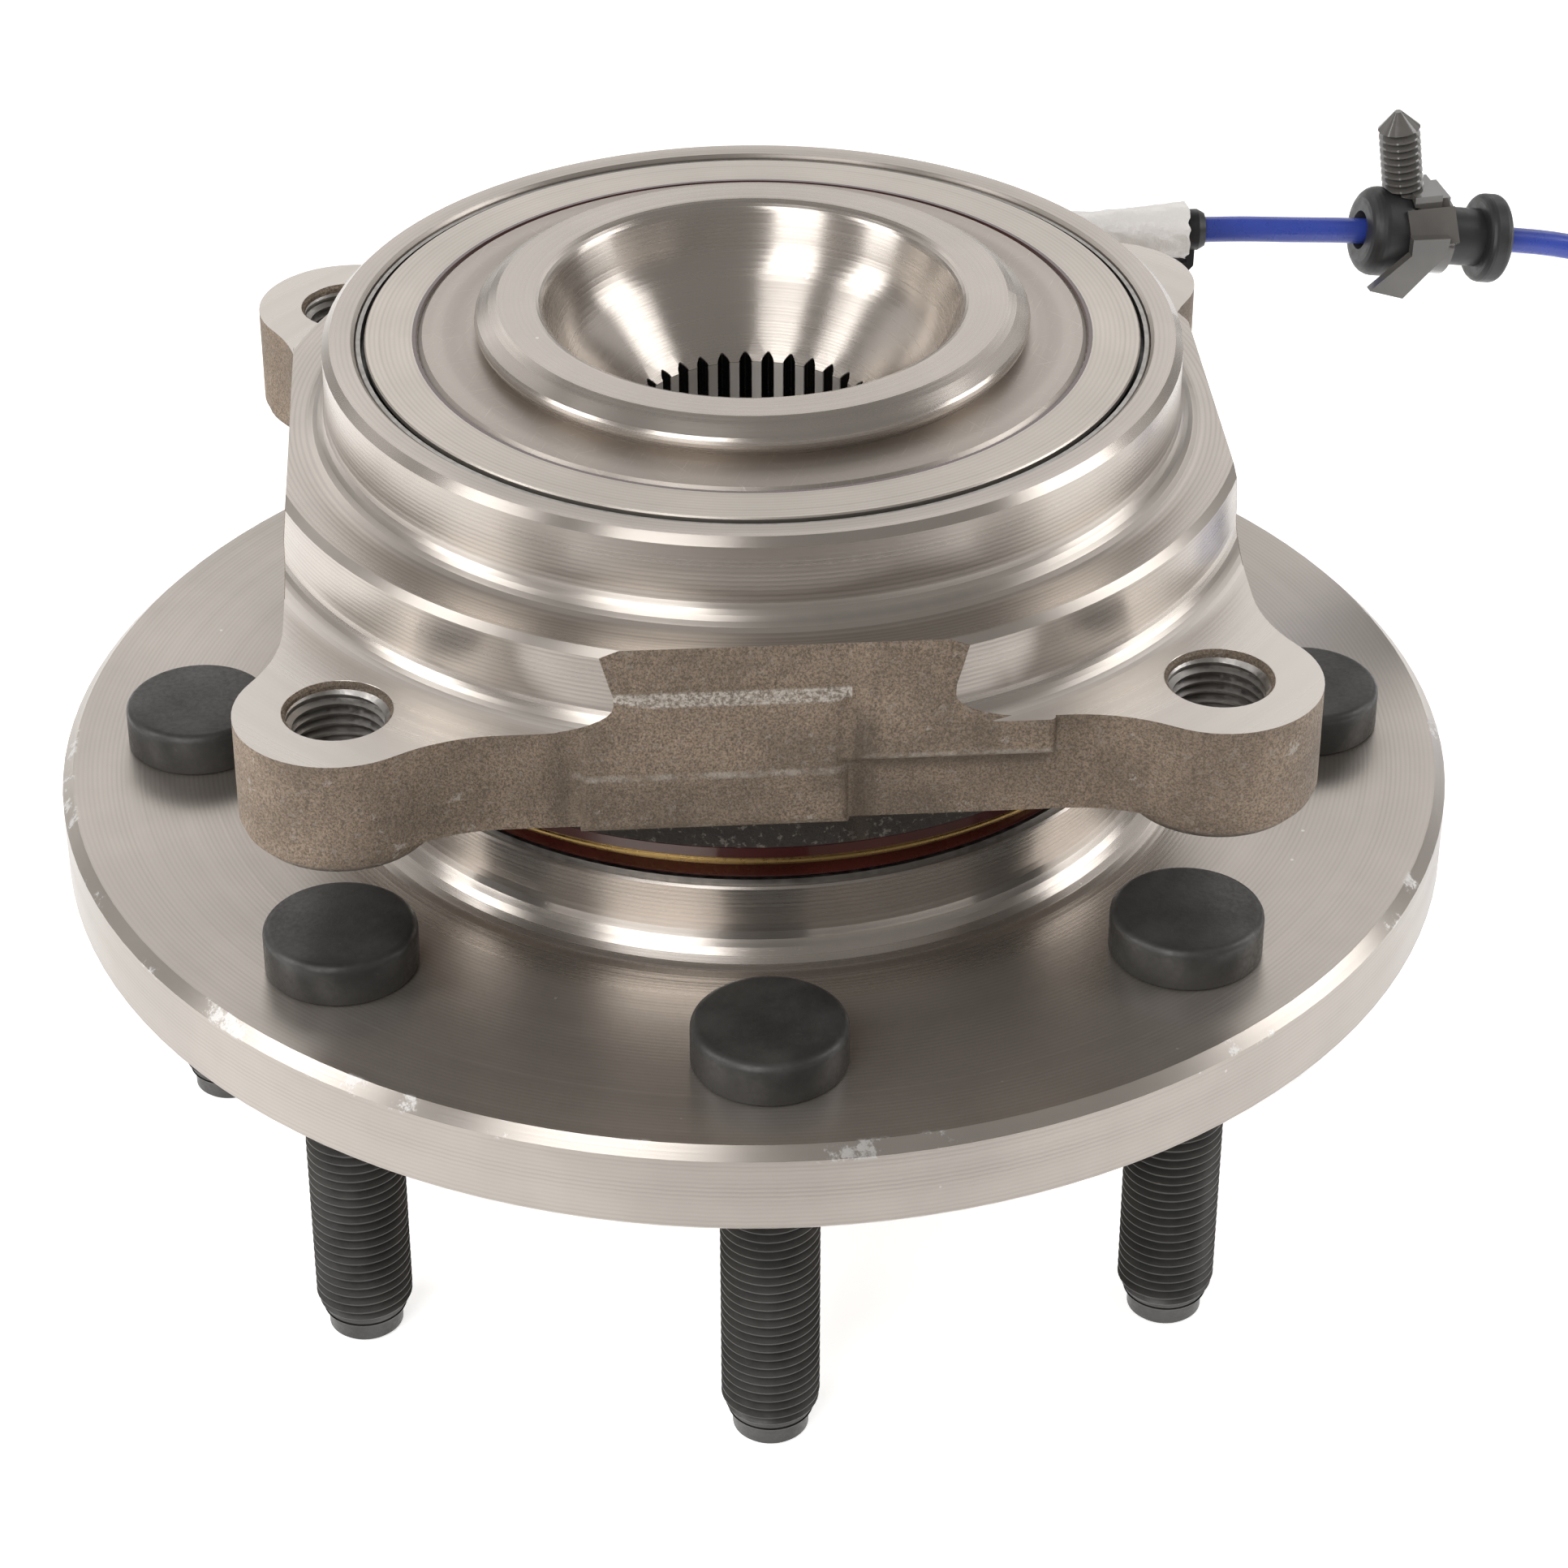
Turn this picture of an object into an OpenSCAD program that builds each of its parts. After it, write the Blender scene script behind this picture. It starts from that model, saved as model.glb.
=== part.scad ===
// Front wheel hub and bearing unit with eight wheel studs and a wheel speed sensor.
// It stands on the tips of its studs: z = 0 is that surface, and the hub's axis is the Z axis.

/* [Wheel flange] */
// Outer diameter of the wheel flange
flange_d = 205.5; // [198:0.5:214]
// Thickness of the wheel flange
flange_t = 13.3; // [11:0.1:15]
// Chamfer round the flange's upper edge
flange_chamfer = 1.6; // [0.5:0.1:3]
// Diameter of the boss that stands on the flange
boss_d = 119; // [117.6:0.2:120]
// Height of the boss above the flange
boss_h = 11.9; // [10.5:0.1:12.5]
// Radius of the hollow between flange and boss
root_r = 5.9; // [3:0.1:7]
// Turn of the hub about its axis as it stands
hub_turn = -2.2; // [-22:0.1:22]

/* [Wheel studs] */
// Number of wheel studs
stud_count = 8; // [5:1:8]
// Diameter of the circle through the studs
stud_pcd = 165.1; // [158:0.1:172]
// Outer diameter of the stud thread
stud_d = 14; // [12:0.5:14.5]
// Length of a stud below the flange
stud_reach = 50.7; // [40:0.1:60]
// Diameter of the stud head
stud_head_d = 21.4; // [19:0.1:23]
// Height of the stud head
stud_head_h = 6.6; // [4:0.1:8]

/* [Wheel side] */
// Diameter of the pilot that centres the wheel
pilot_d = 116.7; // [112:0.1:118]
// Height of the wheel pilot below the flange
pilot_h = 16; // [8:0.5:22]
// Extra radius of the step that centres the brake disc
disc_step = 0.9; // [0.4:0.1:2]
// Diameter of the face that the axle nut bears on
nut_seat_d = 50; // [46:0.5:58]

/* [Spindle] */
// Diameter of the spindle under the bearing
spindle_d = 70; // [68:0.2:72]
// Outer diameter of the rolled lip
lip_d = 78.4; // [77:0.2:82]
// Height of the rolled lip over the inner ring
lip_h = 4.9; // [3.5:0.1:6]
// Diameter of the bowl's mouth
mouth_d = 60.2; // [57:0.2:61]
// Number of spline teeth
spline_teeth = 33; // [27:1:36]
// Diameter over the tips of the spline teeth
spline_tip_d = 33.9; // [31:0.1:35]
// Depth of the spline grooves
spline_depth = 1.05; // [0.9:0.05:1.5]
// Height of the end of the spline above the flange
spline_top = 52.8; // [44:0.2:54]

/* [Outer ring] */
// Height of the outer ring's foot above the flange
foot_z = 20.3; // [20:0.1:20.8]
// Height of the outer ring's nose above the flange
nose_z = 67.5; // [67.2:0.1:68.5]
// Diameter of the nose that centres in the knuckle
nose_d = 121.5; // [120:0.1:124]
// Height of the shoulder above the flange
shoulder_z = 54.7; // [53.5:0.1:56]
// Diameter of the shoulder
shoulder_d = 140.5; // [137:0.5:144]
// Height of the machined ear face above the flange
ear_face_z = 42.8; // [41:0.1:44]
// Thickness of an ear
ear_t = 17.6; // [15.6:0.1:19]
// Thickness of the web between two ears
web_t = 14.8; // [12:0.1:15]
// Distance between neighbouring ear holes
ear_pitch = 117.7; // [114:0.1:121]
// Radius of an ear round its hole
ear_r = 14; // [12:0.1:16]
// Radius of the hollow between an ear and the flat
ear_blend_r = 25; // [15:0.5:30]
// Half width of the forging across its flats
flat_half = 66.6; // [65:0.1:68]
// Draft angle of the forged flats
draft = 6; // [2:0.5:8]
// How far the forged block stands off the flat
block_proud = 1.4; // [0.6:0.1:2.4]
// Diameter of the ear holes, at the bottom of their threads
ear_bore_d = 14; // [12:0.1:15]

/* [Bearing] */
// Height of the bearing's middle above the flange
mid_z = 43; // [42.8:0.1:43.2]
// Number of rollers in a row
roller_count = 28; // [20:1:29]
// Diameter of a roller at its middle
roller_d = 8.6; // [8.2:0.05:8.8]
// Length of a roller
roller_l = 12.5; // [11.5:0.1:12.8]
// Radius from the axis to the middle of a roller
roller_mid_r = 48.3; // [48.1:0.1:48.5]
// Tilt of a roller against the axis
roller_tilt = 15; // [14.5:0.1:15.5]
// Gap between a roller and its raceways
running_gap = 0.05; // [0.02:0.01:0.08]
// Number of teeth on the tone ring
tone_teeth = 48; // [40:1:60]

/* [Speed sensor] */
// Diameter of the sensor where it enters the ring
sensor_d = 12; // [10:0.2:13]
// Diameter of the sensor's tip
sensor_tip_d = 6.8; // [5.6:0.2:7.2]
// Gap between the sensor's tip and the tone ring
sensor_gap = 0.7; // [0.4:0.1:1.2]
// Distance from the sensor to its screw
sensor_screw_x = 13.5; // [12:0.5:15]
// Diameter of the sensor lead
lead_d = 4.1; // [3.6:0.1:4.4]
// Diameter of the foil sleeve at its wide end
sleeve_d = 9.7; // [9:0.1:10.5]
// Diameter of the grommet's flanges
grommet_d = 14.4; // [13.2:0.1:15]
// Number of turns that lie on each other in the coil of lead
coil_turns = 3; // [1:1:4]
// Diameter of the coil at the middle of its turns
coil_d = 44; // [40:1:50]
// Width of the connector
plug_w = 20; // [17:0.5:24]
// Length of the connector
plug_l = 31; // [26:0.5:36]

/* [Hidden] */
$fn = 96;

// Heights above the standing surface
flange_z = stud_reach + flange_t;
mid = flange_z + mid_z;
foot = flange_z + foot_z;
nose = flange_z + nose_z;
ear_face = flange_z + ear_face_z;
shoulder = flange_z + shoulder_z;
web_bottom = ear_face - web_t;

// Machined corners and hollows of the outer ring
nose_chamfer = 1.1;
nose_hollow_r = 4.2;
shoulder_chamfer = 1;
ear_hollow_r = 3.7;
foot_d = 124;
pocket_d = 112.4;
pocket_chamfer = 0.45;
ear_foot_edge = 1.5;

// Forged block on two of the flats, and the rail beside it. Heights are above the flange.
block_from = -27.3;
block_to = 8.8;
block_top = 48;
block_crease = 36.2;
block_drop = 0.7;
rail_to = 35.8;
rail_brow = 43.5;
rail_ledge = 37.4;
rail_proud = 1.1;

// Taper of the rollers: their axes and both raceways meet at one point on the axis
roller_row = 12;
apex_reach = roller_mid_r / tan(roller_tilt);
cone_reach = roller_mid_r / sin(roller_tilt);
roller_half = atan(roller_d / 2 / cone_reach);
gap_angle = atan(running_gap / cone_reach);
cup_angle = roller_tilt + roller_half + gap_angle;
cone_angle = roller_tilt - roller_half - gap_angle;
roller_r_small = (cone_reach - roller_l / 2) * tan(roller_half);
roller_r_large = (cone_reach + roller_l / 2) * tan(roller_half);
// Heights here are above the bearing's middle
apex = roller_row - apex_reach;
function cup_r(z) = (z - apex) * tan(cup_angle);
function cone_r(z) = (z - apex) * tan(cone_angle);
end_rise = roller_l / 2 * cos(roller_tilt);
end_out = roller_l / 2 * sin(roller_tilt);
large_inner_z = roller_row + end_rise + roller_r_large * sin(roller_tilt);
small_inner_z = roller_row - end_rise + roller_r_small * sin(roller_tilt);
small_outer_z = roller_row - end_rise - roller_r_small * sin(roller_tilt);
large_outer_z = roller_row + end_rise - roller_r_large * sin(roller_tilt);
race_large_z = large_outer_z + 0.35;
race_small_z = small_outer_z - 0.25;
land_r = cup_r(race_small_z) - 1.2;
rib_r = 47.3;
rib_small_rise = 1;
ring_small_z = 4;
ring_chamfer = 0.7;
tone_r = 46;
tone_hub_r = 43;
tone_w = 5;

// Seal sections
case_wall = 0.9;
case_plate_t = 0.8;
case_low = 3.95;
case_rim_drop = 0.6;
case_r = pocket_d / 2;
case_inner_r = rib_r + 2.7;
slinger_gap = 0.6;
slinger_outer_r = case_r - case_wall - slinger_gap;
slinger_sleeve_t = 0.8;
slinger_plate_t = 0.9;
bead_w = 0.7;
gold_rim_r = case_r + 4.2;
gold_drop = 4.1;
gold_t = 1.1;
seat_w = 3;
seat_r = rib_r + seat_w;
thrower_t = 0.8;
outer_case_l = 5;

// Speed sensor: its axis is radial, at the middle of the bearing, on the +Y flat
seat_y = flat_half - 0.6;
sensor_bore_end = seat_y - 11;
sensor_flange_t = 2.6;
sensor_head_r = 8.2;
sensor_tab_r = 6.4;
lead_y = 80;
lead_head_z = mid - 1.1;
sleeve_from = 12;
sleeve_to = 75;
lead_r = lead_d / 2;
boot_to = 77.7;
coil_r = coil_d / 2;
coil_x = 214;
coil_y = 88;

// Route of the lead from the boot to the coil, in the air, down, and along the surface
lead_route = [[77.7, 80, 104.8], [84, 80, 104.7], [92, 80.2, 104.2], [101, 81.4, 103.2],
    [110, 82.8, 101.8], [119, 84.3, 100.2], [128, 85.7, 98.6], [137, 87, 96.8],
    [145, 87.8, 94.4], [152, 88, 91], [158, 87.4, 85.8], [163, 86, 79.2],
    [167, 84, 71.6], [170, 81.8, 63.4], [172.5, 79.2, 54.4], [175, 76.6, 45],
    [178, 74, 36], [182, 71.6, 28], [187, 69.5, 21], [193.5, 67.7, 15.5],
    [201, 66.5, 12], [208, 66, 10.6], [214, 66, 10.3]];
lead_end_route = [[214, 110, 2.1], [209.8, 110, 2.6], [205.5, 110, 4.2], [201.2, 110, 5.7], [197, 110, 6.2],
    [195.5, 110, 6.2]];

function arc(x, y, r, from, to, steps = 8) =
    [for (i = [0:steps]) let (a = from + (to - from) * i / steps) [x + r * cos(a), y + r * sin(a)]];

// A tube along a route, one ring of sides per point
function unit(v) = v / norm(v);
module tube(route, r, sides) {
    last = len(route) - 1;
    points = [for (i = [0:last])
        let (along = unit(route[min(i + 1, last)] - route[max(i - 1, 0)]),
            side = unit(cross(along, [0, 1, 0.02])),
            up = cross(side, along))
        for (k = [0:sides - 1])
            let (a = 360 * (k + 0.5) / sides) route[i] + r * (cos(a) * side + sin(a) * up)];
    faces = concat([[for (k = [0:sides - 1]) k]],
        [for (i = [0:last - 1]) for (k = [0:sides - 1])
            [i * sides + k, (i + 1) * sides + k,
                (i + 1) * sides + (k + 1) % sides, i * sides + (k + 1) % sides]],
        [[for (k = [sides - 1:-1:0]) last * sides + k]]);
    polyhedron(points, faces, convexity = 6);
}

// Places what follows at each of count steps round the axis
module round_axis(count, turn = 0) {
    for (i = [0:count - 1]) rotate([0, 0, turn + 360 * i / count]) children();
}

// Puts the inboard half of the bearing in place, or its mirror image
module row(inboard) {
    translate([0, 0, mid]) mirror([0, 0, inboard ? 0 : 1]) children();
}

// Outer ring

module ear_outline() {
    half = ear_pitch / 2;
    reach = flat_half + ear_blend_r;
    along = sqrt(pow(ear_r + ear_blend_r, 2) - pow(reach - half, 2));
    touch = ear_r / (ear_r + ear_blend_r);
    square(2 * flat_half, center = true);
    for (i = [0:3]) rotate(90 * i) {
        translate([half, half]) circle(ear_r);
        for (m = [0, 1]) mirror([m, -m]) difference() {
            polygon([[half - along, reach - ear_blend_r], [half - along, half - 6], [half, half],
                [half - along * touch, half + (reach - half) * touch]]);
            translate([half - along, reach]) circle(ear_blend_r);
        }
    }
}

module forging() {
    translate([0, 0, web_bottom]) linear_extrude(web_t) ear_outline();
    // Ears reach below the web, a little drawn in by the forging's draft
    boss = ear_t - web_t;
    round_axis(4) translate([ear_pitch / 2, ear_pitch / 2, ear_face - ear_t]) {
        cylinder(h = ear_foot_edge, r1 = ear_r - 1.9, r2 = ear_r - 0.5);
        translate([0, 0, ear_foot_edge]) cylinder(h = boss, r1 = ear_r - 0.5, r2 = ear_r - 0.3);
    }
    // Body with flats above the ears
    difference() {
        translate([-flat_half, -flat_half, ear_face - 1])
            cube([2 * flat_half, 2 * flat_half, nose - ear_face + 1]);
        round_axis(4) translate([-100, -flat_half, flange_z + block_top]) rotate([-draft, 0, 0])
            translate([0, -30, 0]) cube([200, 30, 40]);
    }
    for (m = [0, 1]) mirror([0, m, 0]) {
        block();
        rail();
    }
    translate([0, 0, foot]) cylinder(h = ear_face - foot, d = foot_d);
}

// Cuts a plan outline by a side outline that is drawn in y and z
module forged_relief(plan, side) {
    intersection() {
        translate([0, 0, foot]) linear_extrude(nose - foot) polygon(plan);
        translate([-flat_half, 0, 0]) rotate([90, 0, 90]) linear_extrude(2 * flat_half) polygon(side);
    }
}

module block() {
    face = flat_half + block_proud;
    left_r = 1.7;
    right_r = 2.9;
    root = 6;
    slope = 0.7;
    low = web_bottom - block_drop;
    forged_relief(
        concat([[block_from, root - flat_half]],
            arc(block_from + left_r, left_r - face, left_r, 180, 270, 6),
            arc(block_to - right_r, right_r - face, right_r, 270, 360, 6), [[block_to, root - flat_half]]),
        [[root - flat_half, flange_z + block_top], [-flat_half, flange_z + block_top],
            [-face, flange_z + block_top - slope], [-face, flange_z + block_crease],
            [block_drop - face, low + 1], [block_drop - face + 0.6, low], [root - flat_half, low]]);
}

module rail() {
    face = flat_half + rail_proud;
    end_r = 0.9;
    root = 6;
    forged_relief(
        concat([[block_to - root, root - flat_half], [block_to - root, -face]],
            arc(rail_to - end_r, end_r - face, end_r, 270, 360, 4), [[rail_to, root - flat_half]]),
        [[root - flat_half, flange_z + block_top], [-flat_half, flange_z + block_top],
            [-face, flange_z + rail_brow], [-face, flange_z + rail_ledge + 0.5],
            [0.4 - face, flange_z + rail_ledge], [root - flat_half, flange_z + rail_ledge]]);
}

module turned_envelope() {
    nose_r = nose_d / 2;
    shoulder_r = shoulder_d / 2;
    rotate_extrude() polygon(concat(
        [[0, foot], [0, nose], [nose_r - nose_chamfer, nose], [nose_r, nose - nose_chamfer]],
        arc(nose_r + nose_hollow_r, shoulder + nose_hollow_r, nose_hollow_r, 180, 270),
        [[shoulder_r - shoulder_chamfer, shoulder], [shoulder_r, shoulder - shoulder_chamfer]],
        arc(shoulder_r + ear_hollow_r, ear_face + ear_hollow_r, ear_hollow_r, 180, 270),
        [[120, ear_face], [120, foot]]));
}

module ring_bore() {
    pocket_r = pocket_d / 2;
    mouth = pocket_r + pocket_chamfer;
    rotate_extrude() polygon([[0, nose + 1], [mouth + 1, nose + 1], [pocket_r, nose - pocket_chamfer],
        [pocket_r, mid + race_large_z], [cup_r(race_large_z), mid + race_large_z],
        [cup_r(race_small_z), mid + race_small_z], [land_r, mid + race_small_z],
        [land_r, mid - race_small_z], [cup_r(race_small_z), mid - race_small_z],
        [cup_r(race_large_z), mid - race_large_z], [pocket_r, mid - race_large_z],
        [pocket_r, foot + pocket_chamfer], [mouth + 1, foot - 1], [0, foot - 1]]);
}

module ear_hole() {
    bore_r = ear_bore_d / 2;
    mouth = 0.5;
    translate([0, 0, foot]) cylinder(h = nose - foot, r = bore_r);
    translate([0, 0, ear_face - mouth]) cylinder(h = 2 * mouth, r1 = bore_r, r2 = bore_r + 2 * mouth);
    translate([0, 0, ear_face - ear_t - mouth]) cylinder(h = 2 * mouth, r1 = bore_r + 2 * mouth, r2 = bore_r);
}

module sensor_hole() {
    clear = 0.06;
    translate([0, 0, mid]) rotate([-90, 0, 0]) {
        translate([0, 0, land_r - 6]) cylinder(h = 40, r = sensor_tip_d / 2 + 0.3);
        translate([0, 0, sensor_bore_end]) cylinder(h = 30, r = sensor_d / 2 + clear);
        translate([0, 0, seat_y]) cylinder(h = 12, r = sensor_head_r + 2.6);
        translate([-sensor_screw_x, 0, seat_y]) cylinder(h = 12, r = 7.6);
        translate([-sensor_screw_x, -7.6, seat_y]) cube([sensor_screw_x, 15.2, 12]);
        translate([-sensor_screw_x, 0, seat_y - 10]) cylinder(h = 12, r = 2.5);
    }
}

module outer_ring() color([0.72, 0.69, 0.66]) difference() {
    intersection() {
        forging();
        turned_envelope();
    }
    ring_bore();
    round_axis(4) translate([ear_pitch / 2, ear_pitch / 2, 0]) ear_hole();
    sensor_hole();
}

// Hub

mouth_round = 2.2;
bowl_bend_r = 14;

// The bowl's wall: a cone, a hollow bend, and a steeper cone up to the mouth
function bowl_profile(low, bend, high) =
    let (into = unit(bend - low), out = unit(high - bend),
        turn = acos(into * out),
        reach = bowl_bend_r * tan(turn / 2),
        start = atan2(into[1], into[0]) - 90,
        centre = bend - reach * into + bowl_bend_r * [-into[1], into[0]])
    arc(centre[0], centre[1], bowl_bend_r, start, start + turn, 6);

function lip_profile() =
    let (top = nose + lip_h, r = lip_d / 2, m = mouth_d / 2)
    concat([[spindle_d / 2, nose], [r - 1.2, nose]],
        arc(r - 1.6, nose + 2, 1.6, -40, 40, 4),
        [[r - 2, top - 0.7], [r - 3.2, top]],
        arc(m + 1.3, top - mouth_round, mouth_round, 90, 163, 6));

module hub_body() {
    flange_r = flange_d / 2;
    boss_r = boss_d / 2;
    pilot_r = pilot_d / 2;
    low = flange_z - flange_t;
    pilot_low = low - pilot_h;
    seat_low = low - 1;
    spline_end = [spline_tip_d / 2, flange_z + spline_top];
    bend = [mouth_d / 2 - 3.1, nose - 3.5];
    mouth = lip_profile()[len(lip_profile()) - 1];
    rotate_extrude() polygon(concat(
        [[spline_tip_d / 2, seat_low + 8], spline_end],
        bowl_profile(spline_end, bend, mouth),
        [for (p = [len(lip_profile()) - 1:-1:0]) lip_profile()[p]],
        [[spindle_d / 2, foot], [rib_r - 1, foot], [seat_r, foot - 1], [seat_r, flange_z + boss_h],
            [boss_r - 0.3, flange_z + boss_h], [boss_r, flange_z + boss_h - 0.3]],
        arc(boss_r + root_r, flange_z + root_r, root_r, 180, 270),
        [[flange_r - flange_chamfer, flange_z], [flange_r, flange_z - flange_chamfer],
            [flange_r, low + 0.8], [flange_r - 0.8, low],
            [pilot_r + disc_step, low], [pilot_r + disc_step, low - 6], [pilot_r, low - 7],
            [pilot_r, pilot_low + 1.5], [pilot_r - 1.5, pilot_low], [pilot_r - 6.5, pilot_low],
            [pilot_r - 9, flange_z - 4], [pilot_r - 13, flange_z], [nut_seat_d / 2 + 8, flange_z],
            [nut_seat_d / 2 + 2, flange_z - 5], [nut_seat_d / 2, seat_low],
            [spline_tip_d / 2 + spline_depth + 1.2, seat_low],
            [spline_tip_d / 2 + spline_depth + 1.2, seat_low + 7]]));
}

// One groove of the spline along the whole bore: its flanks curve in to a narrow floor.
// Each flank point is a share of the depth and a share of the groove's half width.
module spline_groove() {
    tip_r = spline_tip_d / 2;
    half = 0.29 * 2 * PI * tip_r / spline_teeth;
    flank = [[-1, 1.06], [0, 1], [0.4, 0.8], [0.75, 0.46], [1, 0.13]];
    low = flange_z - flange_t - 2;
    right = [for (p = flank) [tip_r + p[0] * spline_depth, -p[1] * half]];
    left = [for (i = [len(flank) - 1:-1:0]) [right[i][0], -right[i][1]]];
    translate([0, 0, low]) linear_extrude(spline_top + flange_t + 12) polygon(concat(right, left));
}

knurl_r = stud_d / 2 + 0.6;

module hub_flange() color([0.74, 0.72, 0.69]) rotate([0, 0, hub_turn]) difference() {
    hub_body();
    round_axis(spline_teeth, 90 - hub_turn) spline_groove();
    round_axis(stud_count, -90) translate([stud_pcd / 2, 0, flange_z - flange_t - 1])
        cylinder(h = flange_t + 2, r = knurl_r);
}

module stud() {
    head_r = stud_head_d / 2;
    thread_r = stud_d / 2 - 0.05;
    point_r = 0.77 * thread_r;
    point_l = 2.7;
    lead_l = 3;
    round_edge = 1.2;
    rotate_extrude() polygon(concat(
        [[0, 0], [point_r - 0.5, 0], [point_r, 0.5], [point_r, point_l],
            [thread_r, point_l + lead_l], [thread_r, stud_reach - 1.5], [knurl_r, stud_reach],
            [knurl_r, flange_z], [head_r, flange_z]],
        arc(head_r - round_edge, flange_z + stud_head_h - round_edge, round_edge, 0, 90, 5),
        [[0, flange_z + stud_head_h]]));
}

module wheel_studs() color([0.16, 0.16, 0.17]) rotate([0, 0, hub_turn])
    round_axis(stud_count, -90) translate([stud_pcd / 2, 0, 0]) stud();

// Inner rings, rollers and cages. Heights in these modules are above the bearing's middle.

module inner_ring(back) {
    bore = spindle_d / 2;
    rib_slope = tan(roller_tilt);
    rib_foot = large_inner_z + running_gap;
    rotate_extrude() polygon([[bore, ring_small_z + 0.6], [bore + 0.6, ring_small_z],
        [cone_r(small_inner_z) + rib_small_rise, ring_small_z],
        [cone_r(small_inner_z) + rib_small_rise, small_inner_z - running_gap - 0.3],
        [cone_r(small_inner_z), small_inner_z - running_gap],
        [cone_r(rib_foot), rib_foot], [rib_r, rib_foot - (rib_r - cone_r(rib_foot)) * rib_slope],
        [rib_r, back - ring_chamfer], [rib_r - ring_chamfer, back], [bore, back]]);
}

module inner_ring_inboard() color([0.62, 0.6, 0.58]) row(true) inner_ring(nose - mid);
module inner_ring_outboard() color([0.62, 0.6, 0.58]) row(false) inner_ring(mid - foot);

module tone_ring() color([0.5, 0.5, 0.5]) translate([0, 0, mid]) difference() {
    rotate_extrude() polygon([[spindle_d / 2, -ring_small_z], [tone_hub_r, -ring_small_z],
        [tone_hub_r, -tone_w / 2], [tone_r, -tone_w / 2], [tone_r, tone_w / 2],
        [tone_hub_r, tone_w / 2], [tone_hub_r, ring_small_z], [spindle_d / 2, ring_small_z]]);
    slot = PI * tone_r / tone_teeth;
    round_axis(tone_teeth) translate([tone_hub_r + 0.8, -slot / 2, -tone_w]) cube([6, slot, 2 * tone_w]);
}

module roller(grow = 0) {
    translate([roller_mid_r, 0, roller_row]) rotate([0, roller_tilt, 0])
        cylinder(h = roller_l + 2 * grow, r1 = roller_r_small + grow, r2 = roller_r_large + grow,
            center = true, $fn = 24);
}

module roller_set() round_axis(roller_count) roller();
module rollers_inboard() color([0.8, 0.8, 0.8]) row(true) roller_set();
module rollers_outboard() color([0.8, 0.8, 0.8]) row(false) roller_set();

module cage() {
    inner_off = 1;
    outer_off = 2.3;
    small_end = roller_l / 2 + 1.6;
    large_end = roller_l / 2 + 1.7;
    c = cos(roller_tilt);
    s = sin(roller_tilt);
    difference() {
        rotate_extrude() polygon([for (p = [[-small_end, inner_off], [-small_end, outer_off],
            [large_end, outer_off], [large_end, inner_off]])
            [roller_mid_r + p[0] * s + p[1] * c, roller_row + p[0] * c - p[1] * s]]);
        round_axis(roller_count) roller(0.2);
    }
}

module cage_inboard() color([0.35, 0.33, 0.3]) row(true) cage();
module cage_outboard() color([0.35, 0.33, 0.3]) row(false) cage();

// Inboard seal: a case pressed into the ring, a lip on it, and a slinger on the inner ring

case_z = nose - case_low;
plate_z = nose - 0.15;

module seal_case_inboard() color([0.45, 0.44, 0.42]) rotate_extrude() polygon([
    [case_inner_r, case_z], [case_r, case_z], [case_r, nose - case_rim_drop - 0.4],
    [case_r - 0.3, nose - case_rim_drop], [case_r - case_wall, nose - case_rim_drop],
    [case_r - case_wall, case_z + case_plate_t], [case_inner_r, case_z + case_plate_t]]);

module seal_lip_inboard() color([0.1, 0.1, 0.1]) rotate_extrude() polygon([
    [case_inner_r, case_z + case_plate_t], [case_r - case_wall, case_z + case_plate_t],
    [case_r - case_wall, case_z + 1.3], [case_inner_r + 3, case_z + 1.3],
    [case_inner_r + 4, case_z + 2.5], [case_inner_r + 3.3, case_z + 2.6],
    [case_inner_r + 1.6, case_z + 1.3], [case_inner_r + 0.4, case_z + 1.3],
    [case_inner_r - 0.8, case_z + 2.3], [case_inner_r - 1.4, case_z + 2.2],
    [case_inner_r - 0.4, case_z + 0.9], [case_inner_r - 0.8, case_z], [case_inner_r, case_z - 0.2]]);

module slinger_inboard() color([0.78, 0.76, 0.73]) rotate_extrude() polygon([
    [rib_r, mid + large_inner_z + 0.4], [rib_r + slinger_sleeve_t, mid + large_inner_z + 0.4],
    [rib_r + slinger_sleeve_t, plate_z - slinger_plate_t], [slinger_outer_r, plate_z - slinger_plate_t],
    [slinger_outer_r, plate_z - 0.2], [slinger_outer_r - 0.2, plate_z], [rib_r + bead_w, plate_z],
    [rib_r + bead_w, plate_z - 0.5], [rib_r, plate_z - 0.5]]);

module slinger_bead() color([0.35, 0.22, 0.2]) rotate_extrude() polygon([
    [rib_r, plate_z - 0.5], [rib_r + bead_w, plate_z - 0.5], [rib_r + bead_w, plate_z],
    [rib_r + 0.2, plate_z]]);

// Outboard seal: a plated case with a turned out rim, its lip, a gasket and a slinger on the boss

gold_low = foot - gold_drop;
outer_case_top = foot + outer_case_l;
outer_plate_z = foot + 1.1;

module seal_case_outboard() color([0.7, 0.5, 0.2]) rotate_extrude() polygon(concat(
    [[case_r - case_wall, gold_low + 0.4], [case_r - case_wall + 0.4, gold_low]],
    arc(gold_rim_r - gold_t / 2, gold_low + gold_t / 2, gold_t / 2, -90, 90, 6),
    [[case_r, gold_low + gold_t], [case_r, outer_case_top], [case_r - case_wall, outer_case_top]]));

module seal_gasket() color([0.25, 0.1, 0.1]) rotate_extrude() polygon([
    [case_r + 0.5, gold_low + gold_t], [gold_rim_r, gold_low + gold_t],
    [gold_rim_r + 0.9, gold_low + gold_t + 0.9], [gold_rim_r + 0.9, foot - 0.6],
    [gold_rim_r + 0.4, foot], [case_r + 0.5, foot]]);

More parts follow.
